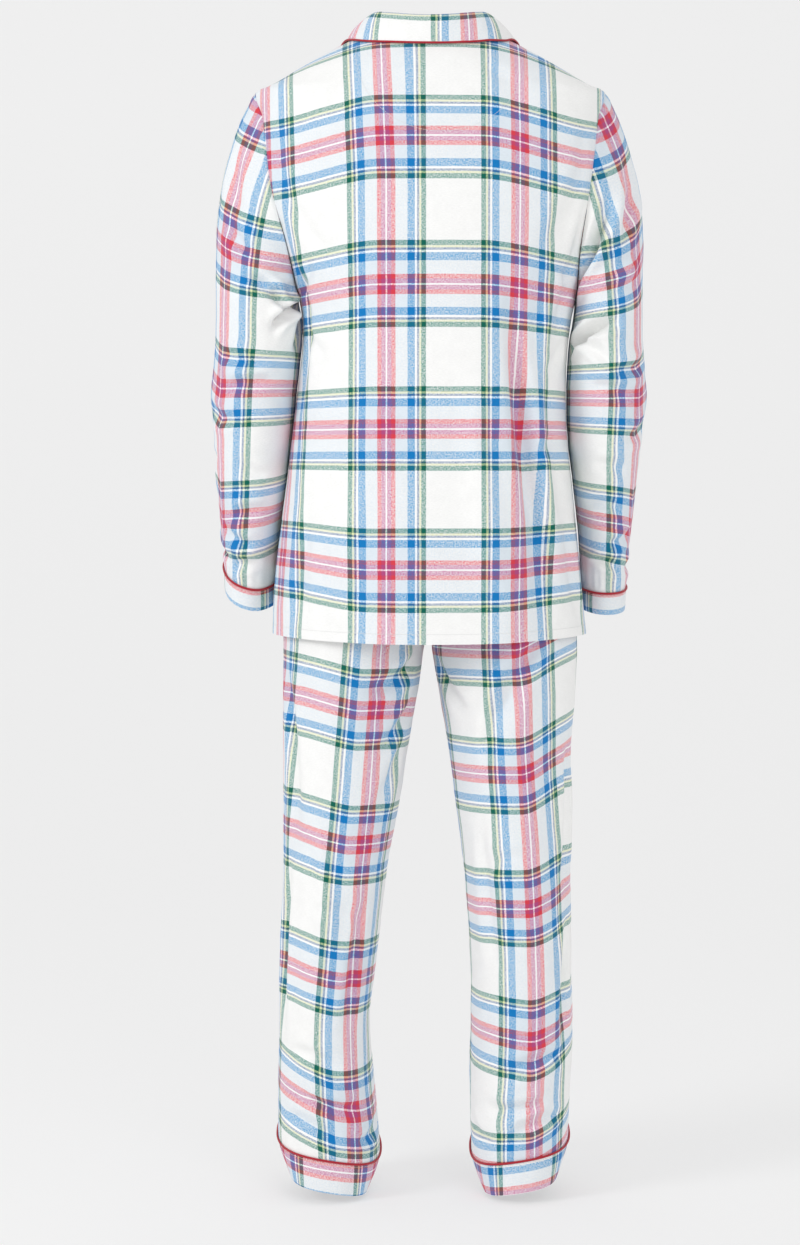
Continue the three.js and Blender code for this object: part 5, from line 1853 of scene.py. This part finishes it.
# The stage, in metres, with the camera's tilt in degrees and its sensor in millimetres
CAMERA_PLACE = (0.039, 3.7, -0.58)
CAMERA_TILT = -2.87
SENSOR_SIZE = 36
FLOOR_LEVEL = -1.512
FLOOR_START = 9
FLOOR_END = -2.2
WALL_CURVE = 2.0
WALL_TOP = 7
STAGE_HALF_WIDTH = 12


class PYJAMA_OT_stage(bpy.types.Operator):
    """Make the pale floor and backdrop, the soft lights and the camera"""

    bl_idname = "pyjama.stage"
    bl_label = "Stage"

    def execute(self, context):
        scene = context.scene
        settings = scene.pyjama_stage
        self.make_backdrop()
        self.make_lights(settings)
        camera_data = bpy.data.cameras.new("Camera")
        camera_data.lens = settings.lens
        camera_data.sensor_fit = "VERTICAL"
        camera_data.sensor_height = SENSOR_SIZE
        camera_data.sensor_width = SENSOR_SIZE
        camera_data.clip_end = 60
        camera = bpy.data.objects.new("Camera", camera_data)
        camera.location = CAMERA_PLACE
        camera.rotation_euler = (math.radians(90 + CAMERA_TILT), 0, math.pi)
        scene.collection.objects.link(camera)
        scene.camera = camera
        scene.view_settings.view_transform = "Standard"
        return {"FINISHED"}

    def make_backdrop(self):
        """A floor that rises into a wall on a wide curve, well behind the set."""
        bend = np.linspace(0, np.pi / 2, 24)[1:]
        curve_y = FLOOR_END - WALL_CURVE * np.sin(bend)
        curve_z = FLOOR_LEVEL + WALL_CURVE * (1 - np.cos(bend))
        wall_z = np.linspace(FLOOR_LEVEL + WALL_CURVE, WALL_TOP, 6)[1:]
        floor_y = np.linspace(FLOOR_START, FLOOR_END, 12)
        y = np.concatenate([floor_y, curve_y, np.full(5, FLOOR_END - WALL_CURVE)])
        z = np.concatenate([np.full(12, FLOOR_LEVEL), curve_z, wall_z])
        across = np.linspace(-STAGE_HALF_WIDTH, STAGE_HALF_WIDTH, 5)
        points = [(x, y[i], z[i]) for i in range(len(y)) for x in across]
        r, c = grid_steps(len(y) - 1, 4)
        faces = np.stack([r * 5 + c, r * 5 + c + 1, (r + 1) * 5 + c + 1, (r + 1) * 5 + c], axis=-1)
        mesh = bpy.data.meshes.new("Backdrop")
        mesh.from_pydata(points, [], faces.tolist())
        mesh.polygons.foreach_set("use_smooth", np.ones(len(mesh.polygons), bool))
        backdrop = bpy.data.objects.new("Backdrop", mesh)
        bpy.context.scene.collection.objects.link(backdrop)
        tree = NodeTree("Pale floor")
        tree.surface(
            Base_Color=(0.45, 0.45, 0.45, 1),
            Emission_Color=(1, 1, 1, 1),
            Emission_Strength=0.465,
            Roughness=0.9,
            Specular_IOR_Level=0.1,
        )
        mesh.materials.append(tree.material)

    def make_lights(self, settings):
        """A large soft light at the wearer's left, a weak one at the other side and an even world."""
        world = bpy.data.worlds.new("Studio")
        world.use_nodes = True
        background = world.node_tree.nodes["Background"]
        background.inputs["Color"].default_value = (1, 1, 1, 1)
        background.inputs["Strength"].default_value = settings.surroundings
        bpy.context.scene.world = world
        for name, place, aim, size, power in (
            ("Key", (3.8, 2.7, 1.6), (0, 0, -0.7), 1.9, settings.key_power),
            ("Fill", (-1.5, 3.9, 0.5), (0, 0, -0.8), 2.4, settings.fill_power),
        ):
            light = bpy.data.lights.new(name, "AREA")
            light.shape = "DISK"
            light.size = size
            light.energy = power
            lamp = bpy.data.objects.new(name, light)
            lamp.location = place
            toward = Vector(aim) - Vector(place)
            lamp.rotation_euler = toward.to_track_quat("-Z", "Y").to_euler()
            bpy.context.scene.collection.objects.link(lamp)


class PYJAMA_PT_panel(bpy.types.Panel):
    """Sizes, colours and the pieces of the pyjama set"""

    bl_label = "Pyjama set"
    bl_idname = "PYJAMA_PT_panel"
    bl_space_type = "VIEW_3D"
    bl_region_type = "UI"
    bl_category = "Pyjamas"

    def draw(self, context):
        layout = self.layout
        for title, group in (
            ("Cloth", context.scene.pyjama_cloth),
            ("Trim", context.scene.pyjama_trim),
            ("Stage", context.scene.pyjama_stage),
        ):
            box = layout.box()
            box.label(text=title)
            for name in group.__annotations__:
                box.prop(group, name)
        for operator in PIECE_OPERATORS:
            layout.operator(operator.bl_idname)


PROPERTY_GROUPS = {
    "pyjama_cloth": PyjamaCloth,
    "pyjama_trim": PyjamaTrim,
    "pyjama_stage": PyjamaStage,
}
PIECE_OPERATORS = (
    PYJAMA_OT_shirt_back,
    PYJAMA_OT_shirt_fronts,
    PYJAMA_OT_lapels,
    PYJAMA_OT_collar,
    PYJAMA_OT_buttons,
    PYJAMA_OT_sleeves,
    PYJAMA_OT_waistband,
    PYJAMA_OT_trousers,
    PYJAMA_OT_hem_bands,
    PYJAMA_OT_stage,
)


def register():
    for group in PROPERTY_GROUPS.values():
        bpy.utils.register_class(group)
    for name, group in PROPERTY_GROUPS.items():
        setattr(bpy.types.Scene, name, PointerProperty(type=group))
    for operator in PIECE_OPERATORS:
        bpy.utils.register_class(operator)
    bpy.utils.register_class(PYJAMA_PT_panel)


def unregister():
    bpy.utils.unregister_class(PYJAMA_PT_panel)
    for operator in reversed(PIECE_OPERATORS):
        bpy.utils.unregister_class(operator)
    for name in PROPERTY_GROUPS:
        delattr(bpy.types.Scene, name)
    for group in reversed(list(PROPERTY_GROUPS.values())):
        bpy.utils.unregister_class(group)


def main():
    register()
    for operator in PIECE_OPERATORS:
        category, name = operator.bl_idname.split(".")
        if getattr(getattr(bpy.ops, category), name)() != {"FINISHED"}:
            raise RuntimeError(operator.bl_label + " could not be made")


if __name__ == "__main__":
    main()
